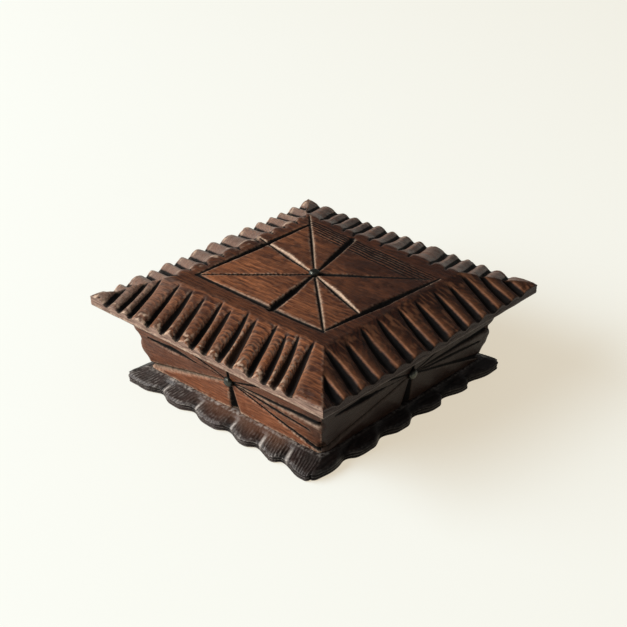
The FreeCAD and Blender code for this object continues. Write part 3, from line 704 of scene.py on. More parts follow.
@dataclass
class SlopeCuts:
    """The row of gouge cuts down one slope of the lid, in millimetres along that side.

    Attributes:
        first: Foot of the first cut.
        gaps: Steps from each foot to the next.
        leans: How far the first and the last cut run askew over the slope.
        depth: Depth of a cut.
        width: Width of a cut at its foot.
        skew: How much wider one flank is than the other.
        crown: How far the ridges' shoulders are rounded down.
        crown_reach: How far that rounding reaches across a ridge.
        edge_share: Share of the depth that is left at the rim.
        crest: Strength of the painted highlight, a red line on the lit edge of the ridge beside each cut.
        crest_from: Number of the first cut with such a line.
        tone: How dark the slope is: stain tone, and on the right slope painted shade.
        figure: How strongly the growth rings show.
        weathered: How grey the wood has gone.
        inset: How far the cuts start above the slope's top, as a share of its run.
        swell: Power by which a cut grows from its start.
        ink: How dark the cuts are.
    """

    first: float
    gaps: tuple[float, ...]
    leans: tuple[float, float]
    depth: float
    width: float
    skew: float
    crown: float
    crown_reach: float
    edge_share: float
    crest: float
    crest_from: int
    tone: float
    figure: float
    weathered: float
    inset: float = 0.0
    swell: float = 0.5
    ink: float = 1.0


@dataclass
class LidFields:
    """Grids over the lid's top: the carving's depth and the values that the finish reads."""

    depth: np.ndarray
    stain: np.ndarray
    bare: np.ndarray
    tone: np.ndarray
    figure: np.ndarray
    crest: np.ndarray
    aged: np.ndarray

    def add_slope(self, row: SlopeCuts, cuts: tuple[np.ndarray, np.ndarray, np.ndarray],
                  lies: np.ndarray) -> None:
        """Lays one slope's carving and tones over the fields.

        Args:
            row: The slope's row of cuts.
            cuts: Depth, stain and crests of that row.
            lies: 1 on the slope, 0 elsewhere.
        """
        depth, stain, crest = cuts
        self.depth = np.maximum(self.depth, depth)
        self.stain = np.maximum(self.stain, np.maximum(stain, 0.4 * soften(stain, 6)))
        self.crest = np.maximum(self.crest, crest)
        self.bare = self.bare * (1.0 - lies)
        self.tone = self.tone * (1.0 - lies) + row.tone * lies
        self.figure = self.figure * (1.0 - lies) + row.figure * lies
        self.aged = self.aged * (1.0 - lies) + row.weathered * lies

    def masks(self) -> dict[Mask, np.ndarray]:
        """The fields as vertex masks."""
        return {Mask.CUT: self.stain, Mask.BARE: self.bare, Mask.TONE: self.tone, Mask.FIGURE: self.figure,
                Mask.CREST: self.crest, Mask.BAND: self.aged}


@dataclass
class CarvedLid:
    """The square lid board with grooved slopes, a scored border and an eight-ray star."""

    side: float = 170.0
    underside: float = 47.0
    band: float = 6.0
    rise: float = 9.5
    flat_x: float = 56.0
    flat_y: float = 53.0
    cells: int = 378
    band_rows: int = 9
    edge_round: float = 1.1
    chip_depth: float = 0.55
    top_figure: float = 0.68
    seed: int = 11

    def slope_rows(self) -> dict[Side, SlopeCuts]:
        """The cuts of each slope, as unevenly spaced as the carver left them."""
        return {
            Side.FRONT: SlopeCuts(
                first=-72.0, gaps=(10, 8.5, 14, 11, 11, 12, 9, 10.5, 8, 13.5, 10, 6.5, 10.5),
                leans=(4.0, 13.0), depth=3.6, width=6.0, skew=0.0, crown=1.2, crown_reach=1.6,
                edge_share=0.45, crest=0.6, crest_from=2, tone=0.46, figure=1.0, weathered=0.0),
            # The right slope's full tone is painted shade on the slope turned from the light.
            Side.RIGHT: SlopeCuts(
                first=-74.0, gaps=(12.5, 13, 14, 13, 16, 12.5, 15, 12, 13, 12, 12),
                leans=(-8.0, -4.5), depth=3.1, width=7.2, skew=-0.1, crown=0.9, crown_reach=2.2,
                edge_share=0.55, crest=0.85, crest_from=0, tone=1.0, figure=0.8, weathered=0.0),
            Side.BACK: SlopeCuts(
                first=-66.0, gaps=(12, 10, 10.5, 10, 15, 9.5, 10.5, 9.5, 11, 8.5, 10, 10, 14),
                leans=(15.0, 17.0), depth=1.5, width=4.4, skew=0.0, crown=1.7, crown_reach=2.6,
                edge_share=0.9, crest=0.0, crest_from=0, tone=0.5, figure=0.8, weathered=0.25,
                inset=0.14, swell=0.22, ink=0.85),
            Side.LEFT: SlopeCuts(
                first=-76.5, gaps=(11, 9, 9, 10, 13.5, 14, 12, 13, 10, 12, 9, 14, 10.5),
                leans=(-17.0, -15.0), depth=1.7, width=4.2, skew=0.0, crown=2.7, crown_reach=2.7,
                edge_share=1.0, crest=0.0, crest_from=0, tone=0.46, figure=0.9, weathered=0.5,
                inset=0.22, swell=0.22, ink=0.75),
        }

    def border_cuts(self) -> list[Gouge]:
        """The border: three long lens cuts and, at the back, fine scored lines."""
        left, front, right, back = (-46.0, -42.0), (46.0, -42.5), (50.0, 35.5), (-44.0, 43.5)
        past = (53.5, 39.5)
        # The bare values paint a highlight on the flank that faces the light.
        cuts = [
            Gouge(left, back, (0.9, 2.3, 1.2), (0.7, 2.0, 1.0), skew=0.2),
            Gouge(left, front, (1.3, 2.2, 1.5), (0.6, 1.2, 0.9), ink=0.7, skew=-0.5, bare=0.35),
            Gouge(front, past, (0.9, 2.7, 0.8), (0.8, 2.4, 0.6), skew=0.1, bare=-0.7),
        ]
        for step in (-6.4, -4.0, -1.8, 0.2, 2.2, 4.2):
            start = (back[0] - 0.8 * step, back[1] + step)
            end = (right[0] + 0.4 * step, right[1] + step)
            cuts.append(Gouge(start, end, (0.5, 0.85, 0.5), (0.4, 0.6, 0.3), ink=0.7 - 0.05 * abs(step)))
        return cuts

    def star_cuts(self) -> list[Gouge]:
        """The star: broad rays towards the sides and thin ones towards the corners."""
        hub = (0.8, -0.6)
        # The bare values paint a highlight on the flank that faces the light.
        return [
            Gouge(hub, (-53.0, 12.0), (0.7, 2.4, 0.7), (0.6, 2.1, 0.6), ink=0.7, skew=-0.3, bare=-0.95),
            Gouge(hub, (10.0, -43.0), (0.9, 2.7, 3.2), (0.8, 2.5, 2.6), skew=0.1),
            Gouge(hub, (46.0, -17.0), (0.7, 2.2, 1.1), (0.6, 2.1, 0.8), ink=0.7, skew=0.3, bare=0.95),
            Gouge(hub, (-12.5, 45.0), (0.8, 2.2, 2.5), (0.7, 1.9, 2.0), skew=0.2, bare=-0.3),
            Gouge(hub, (-46.0, -42.0), (0.9, 1.2, 0.7), (0.7, 1.0, 0.5), ink=0.9, chatter=0.45),
            Gouge(hub, (46.0, -42.5), (0.9, 1.3, 1.0), (0.7, 1.1, 0.8), ink=0.9, skew=0.2, bare=0.75),
            Gouge(hub, (50.0, 35.5), (1.8, 1.4, 0.6), (1.2, 1.2, 0.4), ink=0.95, skew=0.3, bare=-0.6),
            Gouge(hub, (-52.0, 51.5), (0.8, 1.3, 0.8), (0.6, 1.2, 0.6), ink=0.9, skew=-0.2, bare=-0.75),
        ]

    def slope_place(self, side: Side, x: np.ndarray, y: np.ndarray) -> tuple[np.ndarray, np.ndarray]:
        """Coordinates on one slope.

        Args:
            side: The slope's side.
            x: First coordinate of the grid.
            y: Second coordinate of the grid.

        Returns:
            The place along the side, anticlockwise, and the share of the slope's run from its top.
        """
        along, out = {Side.FRONT: (x, -y), Side.RIGHT: (y, x), Side.BACK: (-x, y), Side.LEFT: (-y, -x)}[side]
        flat = self.flat_y if side in (Side.FRONT, Side.BACK) else self.flat_x
        return along, (out - flat) / (self.side / 2 - flat)

    @staticmethod
    def lead(falls: np.ndarray, side: Side) -> np.ndarray:
        """How far one slope's share of its run is ahead of the other three's."""
        number = list(Side).index(side)
        return falls[number] - np.delete(falls, number, axis=0).max(axis=0)

    def cut_slope(self, side: Side, along: np.ndarray, fall: np.ndarray,
                  owned: np.ndarray) -> tuple[np.ndarray, np.ndarray, np.ndarray]:
        """Gouges one slope.

        Args:
            side: The slope's side.
            along: Place along the side.
            fall: Share of the slope's run.
            owned: 1 where the slope lies, 0 beyond its hips.

        Returns:
            The depth of the cuts and of the ridges' crowns, the stain and the painted highlights on the
            ridges' lit edges.
        """
        row = self.slope_rows()[side]
        rng = np.random.default_rng(self.seed + side.value)
        feet = np.cumsum((row.first, *row.gaps))
        leans = np.interp(feet, (feet[0], feet[-1]), row.leans)
        depth, stain, crest = np.zeros_like(along), np.zeros_like(along), np.zeros_like(along)
        ridge = np.full_like(along, 9.0)
        for number, (foot, lean) in enumerate(zip(feet, leans)):
            begin = rng.uniform(-0.02, 0.1) - row.inset
            t = np.clip((fall - begin) / (1.0 - begin), 0.0, 1.1)
            run = np.clip(t, 0.0, 1.0)
            bow = rng.uniform(-0.8, 0.8) * np.sin(np.pi * run)
            off = along - (foot - lean * (1.0 - t) + bow)
            half = 0.5 * row.width * rng.uniform(0.85, 1.15) * run ** (0.8 * row.swell)
            half = np.maximum(np.where(off > 0, half * (1 + row.skew), half * (1 - row.skew)), 0.05)
            profile = np.clip(1.0 - np.abs(off) / half, 0.0, 1.0) * (t > 0)
            keel = run ** row.swell * (1.0 - (1.0 - row.edge_share) * smooth(t, 0.8, 1.0))
            one = row.depth * rng.uniform(0.88, 1.1) * keel * profile ** 0.85
            depth = np.maximum(depth, one)
            stain = np.maximum(stain, row.ink * smooth(profile, 0.05, 0.45) * smooth(t, 0.0, 0.15))
            ridge = np.minimum(ridge, np.abs(off) - half)
            # Painted highlight: a red line on the lit edge of the ridge beside this cut.
            if number >= row.crest_from:
                crest = np.maximum(crest, row.crest * self.crest_line(off - half, t, fall, foot))
        shoulder = row.crown * np.exp(-np.maximum(ridge, 0.0) / row.crown_reach)
        shoulder = shoulder * smooth(fall + row.inset, 0.02, 0.5)
        return (depth + shoulder) * owned, stain * owned, crest * owned

    def crest_line(self, past: np.ndarray, t: np.ndarray, fall: np.ndarray, foot: float) -> np.ndarray:
        """The painted highlight: a red line on the lit edge of the ridge beside one cut.

        Args:
            past: Distance past the cut's flank.
            t: Share of the cut's length.
            fall: Share of the slope's run.
            foot: The cut's foot along the side.

        Returns:
            The broken line and the red that fades away from it, all of it painted highlight.
        """
        line = np.clip(1.0 - np.abs(past - 0.1) / 0.7, 0.0, 1.0) * smooth(t, 0.02, 0.2)
        broken = 0.7 + 0.3 * rumple(10.0 * fall, np.full_like(fall, foot), 1.3, self.seed + 8)
        fade = 0.3 * np.exp(-np.maximum(past, 0.0) / 2.4) * (past > 0.0) * smooth(t, 0.1, 0.4)
        return np.maximum(line * broken, fade)

    def shape(self) -> Shell:
        """Carves the board as one closed shell."""
        line = np.linspace(-self.side / 2, self.side / 2, self.cells + 1)
        x, y = np.meshgrid(line, line)
        falls = np.stack([self.slope_place(side, x, y)[1] for side in Side])
        fields = self.carved(x, y, falls)
        face = self.surface(x, y, falls, fields)
        self.weather(x, y, falls, fields)
        return Shell.board(face, self.band_loops(face), fields.masks(), self.band_masks(rim_of(x), rim_of(y)))

    def carved(self, x: np.ndarray, y: np.ndarray, falls: np.ndarray) -> LidFields:
        """Cuts the border, the star and the four slopes.

        Args:
            x: First coordinate of the grid.
            y: Second coordinate of the grid.
            falls: Share of each slope's run, a grid for each side.

        Returns:
            The carving and its tones over the grid.
        """
        depth, stain, bare = carve(self.border_cuts() + self.star_cuts(), x, y)
        stain = np.maximum(stain, 0.55 * soften(stain, 10))
        zero = np.zeros_like(x)
        fields = LidFields(depth, stain, bare, self.plateau_tone(x, y), zero + self.top_figure, zero, zero)
        for side, row in self.slope_rows().items():
            along, fall = self.slope_place(side, x, y)
            owned = smooth(self.lead(falls, side), -0.01, 0.035)
            cuts = self.cut_slope(side, along, fall, owned)
            fields.add_slope(row, cuts, owned * smooth(fall, -0.03, 0.05))
        return fields

    def surface(self, x: np.ndarray, y: np.ndarray, falls: np.ndarray, fields: LidFields) -> np.ndarray:
        """The top's points, with hand-planed waves, a rounded edge and chipped ridge ends.

        Args:
            x: First coordinate of the grid.
            y: Second coordinate of the grid.
            falls: Share of each slope's run, a grid for each side.
            fields: The carving.

        Returns:
            The grid of points.
        """
        steepest = np.maximum(falls.max(axis=0), 0.0)
        height = soften(self.band + self.rise * (1.0 - steepest), 4)
        height -= 0.18 * (1.0 + rumple(x, y, 9.0, self.seed)) + 0.1 * (1.0 + rumple(x, y, 2.6, self.seed + 1))
        edge = self.side / 2 - np.maximum(np.abs(x), np.abs(y))
        height -= 0.45 * self.edge_round * np.clip(1.0 - edge / self.edge_round, 0.0, 1.0) ** 2
        chips = smooth(rumple(x, y, 2.2, self.seed + 2), 0.2, 0.65) * smooth(steepest, 0.8, 0.97)
        height = soften(height - fields.depth - self.chip_depth * chips * (1.0 - fields.stain), 1)
        shrink = 1.0 - self.edge_waver(x, y)
        return np.stack([x * shrink, y * shrink, height + self.underside], -1)

    def weather(self, x: np.ndarray, y: np.ndarray, falls: np.ndarray, fields: LidFields) -> None:
        """Adds the pale ridge ends, the right slope's red streaks and the front slope's two corners.

        Args:
            x: First coordinate of the grid.
            y: Second coordinate of the grid.
            falls: Share of each slope's run, a grid for each side.
            fields: The fields to change.
        """
        free = 1.0 - fields.stain
        rim = smooth(np.maximum(falls.max(axis=0), 0.0), 0.7, 0.98)
        ends = rim * free * smooth(rumple(x, y, 1.5, self.seed + 3), 0.12, 0.55)
        ends = ends * smooth(fields.tone, 0.62, 0.45) * smooth(x, 60.0, 54.0)
        front = smooth(falls[0], 0.0, 0.05) * smooth(self.lead(falls, Side.FRONT), -0.02, 0.04)
        right = smooth(falls[1], 0.0, 0.05) * smooth(self.lead(falls, Side.RIGHT), 0.0, 0.05)
        streaks = rumple(0.3 * x, y, 1.2, self.seed + 9) + 0.5 * rumple(x, y, 5.0, self.seed + 10)
        fields.crest = np.maximum(fields.crest, 0.26 * right * smooth(streaks, 0.0, 0.9) * free)
        fields.aged = np.maximum(fields.aged, 0.7 * front * smooth(x, -30.0, -72.0))
        fields.tone = np.maximum(fields.tone, 0.55 * front * smooth(x, 52.0, 60.0))
        heads = smooth(falls[3], -0.2, -0.08) * smooth(falls[3], 0.2, 0.05)
        heads = heads * smooth(self.lead(falls, Side.LEFT), 0.0, 0.1)
        heads = 0.6 * heads * free * smooth(rumple(x, y, 2.6, self.seed + 12), 0.25, 0.6)
        fields.bare = np.maximum(np.maximum(fields.bare, 0.9 * ends), heads)

    def band_masks(self, x: np.ndarray, y: np.ndarray) -> dict[Mask, np.ndarray]:
        """Values on the upright band: painted shade, near black on the right, and paler along the front's
        lower arris.

        Args:
            x: First coordinate of the rim.
            y: Second coordinate of the rim.

        Returns:
            The masks, a row for each loop of the band.
        """
        half = self.side / 2
        # Painted shade: near black on the right, less dark at the back and the left.
        side_tone = np.select([x > half - 0.1, y > half - 0.1, x < 0.1 - half], [0.97, 0.7, 0.3], 0.0)
        dark = np.tile(side_tone, (self.band_rows + 1, 1))
        dark[-1] = 0.4
        rubbed = np.zeros_like(dark)
        rubbed[-3:-1] = 0.5 * (y < 0.1 - half) * smooth(x, -20.0, 25.0)
        banded = np.full((self.band_rows + 1, 1), 0.85)
        banded[-1] = 0.3
        return {Mask.BAND: banded, Mask.TONE: dark, Mask.BARE: rubbed, Mask.FIGURE: np.full(1, 0.5)}

    def plateau_tone(self, x: np.ndarray, y: np.ndarray) -> np.ndarray:
        """How dark the old stain is over the flat top: paler at the front left, darker at the back right."""
        sweep = 0.6 * x + 0.8 * y + 14.0 * rumple(x, y, 18.0, self.seed + 6)
        drift = 0.01 + 0.87 * smooth(sweep, -42.0, 36.0)
        inside = smooth(np.abs(x) - 45.0, 0.0, 3.0) + smooth(np.abs(y) - 42.0, 0.0, 3.0)
        return np.clip(drift + 0.8 * np.clip(inside, 0.0, 1.0) * (0.95 - drift), 0.0, 1.0)

    def edge_waver(self, x: np.ndarray, y: np.ndarray) -> np.ndarray:
        """How far the sawn edge wanders inwards, as a share of the half side."""
        reach = np.maximum(np.abs(x), np.abs(y)) / (self.side / 2)
        return 0.0022 * (1.0 + rumple(x + 200.0, y + 200.0, 7.0, self.seed + 4)) * reach ** 6

    def band_loops(self, face: np.ndarray) -> list[np.ndarray]:
        """Loops down the upright band and under its lower arris."""
        rim = rim_of(face)
        loops = []
        for row in range(1, self.band_rows + 1):
            share = row / self.band_rows
            loop = rim.copy()
            loop[:, 2] = self.underside + (rim[:, 2] - self.underside) * (1.0 - share)
            belly = 0.0016 * (1.0 + rumple(rim[:, 0] + 300.0, rim[:, 1] + 40.0 * row, 11.0, self.seed + 5))
            tuck = 0.004 * max(0.0, share - 0.85) / 0.15
            loop[:, :2] *= (1.0 - belly * math.sin(math.pi * share) - tuck)[:, None]
            loops.append(loop)
        inner = loops[-1].copy()
        inner[:, :2] *= 0.97
        loops.append(inner)
        return loops

    def build(self, finish: WoodFinish) -> None:
        """Builds and dresses the board."""
        piece = self.shape().piece("lid_board_carved", 6, 0.16)
        finish_piece(piece, finish.material(), "lid", "lid_board")


@dataclass
class FlaredWall:
    """One of the four flared walls, mitred at its ends and carved with an eight-ray star."""

    side: Side
    star_shift: float = 0.0
    floor: float = 8.0
    height: float = 38.8
    foot_half: float = 64.8
    top_half: float = 72.25
    thickness: float = 9.0
    tone: float = 0.6
    foot_notch: float = 2.7
    middle_notch: float = 1.7
    columns: int = 300
    rows: int = 84
    seed: int = 31

    @property
    def flare(self) -> float:
        """Outward run for each millimetre of height."""
        return (self.top_half - self.foot_half) / self.height

    @property
    def level_thickness(self) -> float:
        """The wall's thickness measured level."""
        return self.thickness * math.hypot(1.0, self.flare)

    def star_cuts(self) -> list[Gouge]:
        """The wall's star: level and upright rays, and thinner ones to the corners."""
        middle = self.height / 2
        hub = (self.star_shift, middle)
        level = self.foot_half + self.flare * middle
        stop = (-0.3 * level, middle + 1.6)
        x = self.star_shift
        # The bare values paint a highlight on the flank that faces the light.
        return [
            Gouge(hub, (x - 0.5, -1.0), (1.3, 2.7, 4.4), (1.0, 2.1, 2.6), skew=0.05),
            Gouge(hub, (x, self.height + 1.0), (1.0, 1.6, 2.2), (0.7, 1.6, 2.0)),
            Gouge(stop, (-0.86 * level, middle + 2.4), (0.4, 2.3, 0.7), (0.3, 1.9, 0.6), ink=0.65, skew=-0.2),
            Gouge(hub, stop, (0.5, 0.5, 0.4), (0.4, 0.4, 0.3), ink=0.35),
            Gouge(hub, (level, middle), (0.6, 1.7, 3.0), (0.4, 1.1, 2.2), ink=0.8, skew=0.2, bare=-0.45),
            Gouge(hub, (-self.foot_half, 2.6), (0.7, 1.6, 2.6), (0.5, 1.1, 1.7), ink=0.5, skew=0.6, bare=0.3,
                  lit_share=1.2),
            Gouge(hub, (self.foot_half, 1.5), (0.6, 0.9, 2.0), (0.5, 0.8, 1.6), ink=0.85),
            Gouge(hub, (0.86 * level, middle - 6.0), (0.4, 1.3, 0.9), (0.3, 0.8, 0.5), ink=0.65, skew=-0.3,
                  bare=0.4),
            Gouge(hub, (-self.top_half, self.height), (0.5, 1.0, 2.4), (0.4, 1.0, 2.0), ink=0.7),
            Gouge(hub, (self.top_half, self.height), (0.5, 1.0, 2.4), (0.4, 1.0, 2.0), ink=0.7),
        ]

    def corner_wear(self, way: np.ndarray, up: np.ndarray) -> np.ndarray:
        """How the mitred arris is bowed between the notches, alike on the two walls that meet there.

        Args:
            way: -1 to 1 along the wall.
            up: Height on the wall.

        Returns:
            The depth taken off, before it fades away from the corner.
        """
        foot = self.foot_notch * np.exp(-(((up - 4.2) / 3.0) ** 2))
        middle = self.middle_notch * np.exp(-(((up - self.height / 2) / 2.6) ** 2))
        corner = np.where(way > 0, self.side.value, (self.side.value + 270) % 360)
        waver = rumple(up, corner.astype(float), 4.0, self.seed)
        return 0.35 + foot + middle + 0.3 * waver

    def shape(self) -> Shell:
        """Carves the wall as one closed shell."""
        ways = np.linspace(-1.0, 1.0, self.columns + 1)
        ups = np.linspace(0.0, self.height, self.rows + 1)
        way, up = np.meshgrid(ways, ups)
        half = self.foot_half + self.flare * up
        along = way * half
        depth, stain, bare = carve(self.star_cuts(), along, up)
        inward = half - np.abs(along)
        depth = depth + self.corner_wear(way, up) * np.clip(1.0 - inward / 4.0, 0.0, 1.0) ** 1.6
        fade = smooth(inward, 0.0, 6.0)
        salt = self.seed + self.side.value
        waves = 0.16 * (1 + rumple(along, up, 8.0, salt)) + 0.08 * (1 + rumple(along, up, 2.4, salt + 1))
        depth += fade * waves
        depth += 0.5 * np.clip(1.0 - (self.height - up) / 1.2, 0.0, 1.0) ** 2
        depth = soften(depth, 1)
        reach = half - depth
        face = np.stack([way * reach, -reach, self.floor + up], -1)
        loops = self.back_loops(rim_of(np.stack([way, up], -1)))
        turned = [self.side.turned(loop) for loop in loops]
        stain = np.maximum(stain, 0.5 * soften(stain, 6))
        masks = {Mask.CUT: stain, Mask.BARE: bare * (1.0 - 0.8 * self.tone),
                 Mask.FIGURE: np.full_like(up, 0.6), Mask.TONE: self.facet_tone(along, up)}
        return Shell.board(self.side.turned(face), turned, masks, {Mask.TONE: np.full(1, 0.4)}, plain_loops=2)

    def facet_tone(self, along: np.ndarray, up: np.ndarray) -> np.ndarray:
        """How dark the wall is: paler below the lower diagonals, with painted shade over the facets above
        them, darker at the front wall's right end.

        Args:
            along: Place along the wall.
            up: Height on the wall.

        Returns:
            The tone over the grid.
        """
        reach = np.maximum(np.abs(along - self.star_shift) / self.foot_half, 0.02)
        upper = smooth(up - self.height / 2 * (1.0 - reach), -1.0, 4.0)
        end = 0.4 * smooth(along, 50.0, 64.0) * (self.side is Side.FRONT)
        return np.clip(self.tone + (1.0 - self.tone) * 0.4 * upper + end, 0.0, 1.0)

    def back_loops(self, rim: np.ndarray) -> list[np.ndarray]:
        """Loops from the carved face's rim to the plain inner face."""
        way, up = rim.T
        loops = []
        for share in (0.5, 1.0):
            reach = self.foot_half + self.flare * up - share * self.level_thickness
            loops.append(np.stack([way * reach, -reach, self.floor + up], -1))
        return loops

    def build(self, finish: WoodFinish) -> None:
        """Builds and dresses the wall."""
        piece = self.shape().piece(f"{self.side.label}_wall_carved", 6, 0.16)
        finish_piece(piece, finish.material(), "box", f"{self.side.label}_wall")


@dataclass
class ScallopedPlinth:
    """The base board with a sloped ledge, gouged notches and a reeded wavy edge.

    Attributes:
        half: Half the board's side.
        ledge: Distance of the ledge's top from the centre.
        top: Height of the ledge at the walls.
        edge_top: Height of the ledge at the edge.
        notches: Places of the notches along each side.
        notch_depth: How far a notch reaches into the edge.
        notch_reach: Half a notch's width.
        tips: Drawn-out corners: their two signs and their shifts along x and y.
        tip_reach: How far from a corner its shift fades out.
        front_lean: How far the front side stands out at its left and right end.
        corner_round: How far the corners are rounded.
        arris_round: How far the upper and the lower arris are rounded.
        end_step: How far the last loops stand in from the ledge and from the edge.
        flute_depth: Depth of the flutes above the notches.
        rib_depth: Depth of the fine ribs on the front and back ledge.
        rib_rate: Radians of those ribs for each millimetre.
        reeds: Number of reeds down the edge.
        reed_depth: Depth between the reeds.
        points_a_side: Points of a loop on each side.
        ledge_rows: Loops on the ledge.
        edge_rows: Loops down the edge.
        seed: Seed of the unevenness.
    """

    half: float = 72.8
    ledge: float = 65.8
    top: float = 8.0
    edge_top: float = 4.4
    notches: tuple[tuple[float, ...], ...] = (
        (-49.0, -21.5, 7.0, 30.0, 50.0), (-56.0, -26.0, 1.0, 27.0, 50.0),
        (-50.0, -25.0, 0.0, 25.0, 50.0), (-51.0, -26.0, 1.0, 24.0, 49.0))
    notch_depth: float = 4.0
    notch_reach: float = 12.0
    tips: tuple[tuple[float, float, float, float], ...] = (
        (1.0, -1.0, -3.0, -6.6), (-1.0, -1.0, -1.6, -2.0), (1.0, 1.0, -1.0, 2.0))
    tip_reach: float = 18.0
    front_lean: tuple[float, float] = (2.0, 6.6)
    corner_round: float = 2.2
    arris_round: float = 0.7
    end_step: float = 4.0
    flute_depth: float = 2.7
    rib_depth: float = 0.13
    rib_rate: float = 2.9
    reeds: float = 2.5
    reed_depth: float = 0.38
    points_a_side: int = 330
    ledge_rows: int = 22
    edge_rows: int = 14
    seed: int = 53

    def notch_off(self, along: np.ndarray, turn: np.ndarray) -> np.ndarray:
        """How far each place along a side lies past the nearest notch."""
        offs = along[:, None] - np.array(self.notches)[turn.astype(int)]
        return np.take_along_axis(offs, np.abs(offs).argmin(axis=1)[:, None], axis=1)[:, 0]

    def edge_inset(self, along: np.ndarray, turn: np.ndarray) -> np.ndarray:
        """How far the wavy edge stands in from the square.

        Args:
            along: Place along a side.
            turn: Number of the side.

        Returns:
            The inset in millimetres.
        """
        off = self.notch_off(along, turn)
        off = off * np.where(off > 0, 0.8, 1.25)
        wave = 0.5 + 0.5 * np.cos(np.pi * np.clip(off / self.notch_reach, -1.0, 1.0))
        hand = 0.9 + 0.1 * rumple(along + 100.0, turn * 7.0, 14.0, self.seed)
        corner = np.clip(1.0 - (self.half - np.abs(along)) / (2.2 * self.corner_round), 0.0, 1.0)
        return self.notch_depth * hand * wave ** 1.5 + self.corner_round * corner ** 2

    def shape(self) -> Shell:
        """Builds the board as one closed shell of loops from the top to the underside."""
        way = np.tile(np.linspace(-1.0, 1.0, self.points_a_side + 1)[:-1], 4)
        turn = np.repeat(np.arange(4.0), self.points_a_side)
        inset = self.edge_inset(way * self.half, turn)
        zero = np.zeros_like(way)
        shares = np.linspace(0.0, 1.0, self.ledge_rows)
        downs = np.linspace(0.0, 1.0, self.edge_rows + 1)[1:]
        top = self.loop(way, zero + self.ledge - self.end_step, zero + self.top, 0.0)
        ledge = [self.ledge_ring(way, turn, inset, share) for share in shares]
        edge = [self.edge_ring(way, turn, inset, ledge[-1][:, 2], down) for down in downs]
        underside = self.loop(way, self.half - inset - self.end_step, zero, 1.0)
        masks = self.masks(way * self.half, turn, inset, shares, downs)
        return Shell.rings([top, *ledge, *edge, underside], masks)

    def ledge_ring(self, way: np.ndarray, turn: np.ndarray, inset: np.ndarray, share: float) -> np.ndarray:
        """One loop of the sloped ledge, fluted at the notches and ribbed at the front and the back.

        Args:
            way: -1 to 1 along each side in turn.
            turn: Number of each point's side.
            inset: How far the wavy edge stands in.
            share: 0 at the walls' feet, 1 at the edge.

        Returns:
            The loop's points.
        """
        along = way * self.half
        reach = self.ledge + (self.half - inset - self.ledge) * share
        fall = (self.top - self.edge_top) * (reach - self.ledge) / (self.half - self.ledge)
        flute = (inset / self.notch_depth) ** 2 * self.flute_depth * share ** 0.7
        ribbed = (turn % 2 == 0) * (0.3 + 0.7 * smooth(np.abs(along), 22.0, 42.0))
        ribs = self.rib_depth * (1 + np.sin(along * self.rib_rate)) * ribbed * smooth(share, 0.0, 0.3)
        bumps = 0.14 * (1 + rumple(along, turn * 90 + reach * 1.7, 3.0, self.seed + 1))
        lip = self.arris_round * max(0.0, share - 0.85) / 0.15
        level = self.top - fall - (flute + ribs + bumps) * min(1.0, share * 3.0) - lip
        return self.loop(way, reach, level, share)

    def edge_ring(self, way: np.ndarray, turn: np.ndarray, inset: np.ndarray, start: np.ndarray,
                  down: float) -> np.ndarray:
        """One loop of the reeded edge.

        Args:
            way: -1 to 1 along each side in turn.
            turn: Number of each point's side.
            inset: How far the wavy edge stands in.
            start: Height of the edge's upper arris.
            down: 0 at that arris, 1 at the underside.

        Returns:
            The loop's points.
        """
        reed = self.reed_depth * (0.5 - 0.5 * math.cos(2 * math.pi * self.reeds * down))
        tuck = self.arris_round * max(0.0, down - 0.88) / 0.12
        bumps = 0.15 * (1 + rumple(way * self.half, turn * 90 + down * 6, 4.0, self.seed + 2))
        return self.loop(way, self.half - inset - 0.1 - reed - tuck - bumps, start * (1 - down), 1.0)

    def masks(self, along: np.ndarray, turn: np.ndarray, inset: np.ndarray, shares: np.ndarray,
              downs: np.ndarray) -> dict[Mask, np.ndarray]:
        """Stain in the notches, a painted highlight on the lit flank of each front notch, the front ledge's
        warmer middle and painted shade on the sides.

        Args:
            along: Place along each side in turn.
            turn: Number of each point's side.
            inset: How far the wavy edge stands in.
            shares: Places of the ledge's loops.
            downs: Places of the edge's loops.

        Returns:
            The masks, a row for each loop.
        """
        front = turn == 0
        zero = np.zeros_like(along)
        notch = inset / self.notch_depth
        # Painted highlight on the flank of each front notch that faces the light.
        flank = np.clip(1.0 - np.abs(self.notch_off(along, turn) - 2.6) / 1.6, 0.0, 1.0) * front
        warm = 0.16 * front * smooth(along, -34.0, -8.0) * smooth(along, 56.0, 40.0)
        cut, bare, brown = [zero], [zero], [zero]
        for share in shares:
            cut.append(notch ** 3 * share)
            bare.append(flank * smooth(share, 0.1, 0.7))
            brown.append(warm * smooth(share, 0.9, 0.1))
        for down in downs:
            cut.append(0.5 * notch)
            bare.append(0.7 * (1.0 - down) * flank)
            brown.append(zero)
        cut, bare, brown = (np.stack([*rows, zero]) for rows in (cut, bare, brown))
        # Painted shade: the front lighter and darker towards its right end, the other sides dark.
        tone = np.where(front, 0.34 + 0.4 * smooth(along, 42.0, 62.0), 0.8)
        return {Mask.CUT: 0.6 * cut, Mask.BARE: bare, Mask.CREST: brown, Mask.FIGURE: np.ones_like(cut),
                Mask.TONE: np.broadcast_to(tone, cut.shape)}

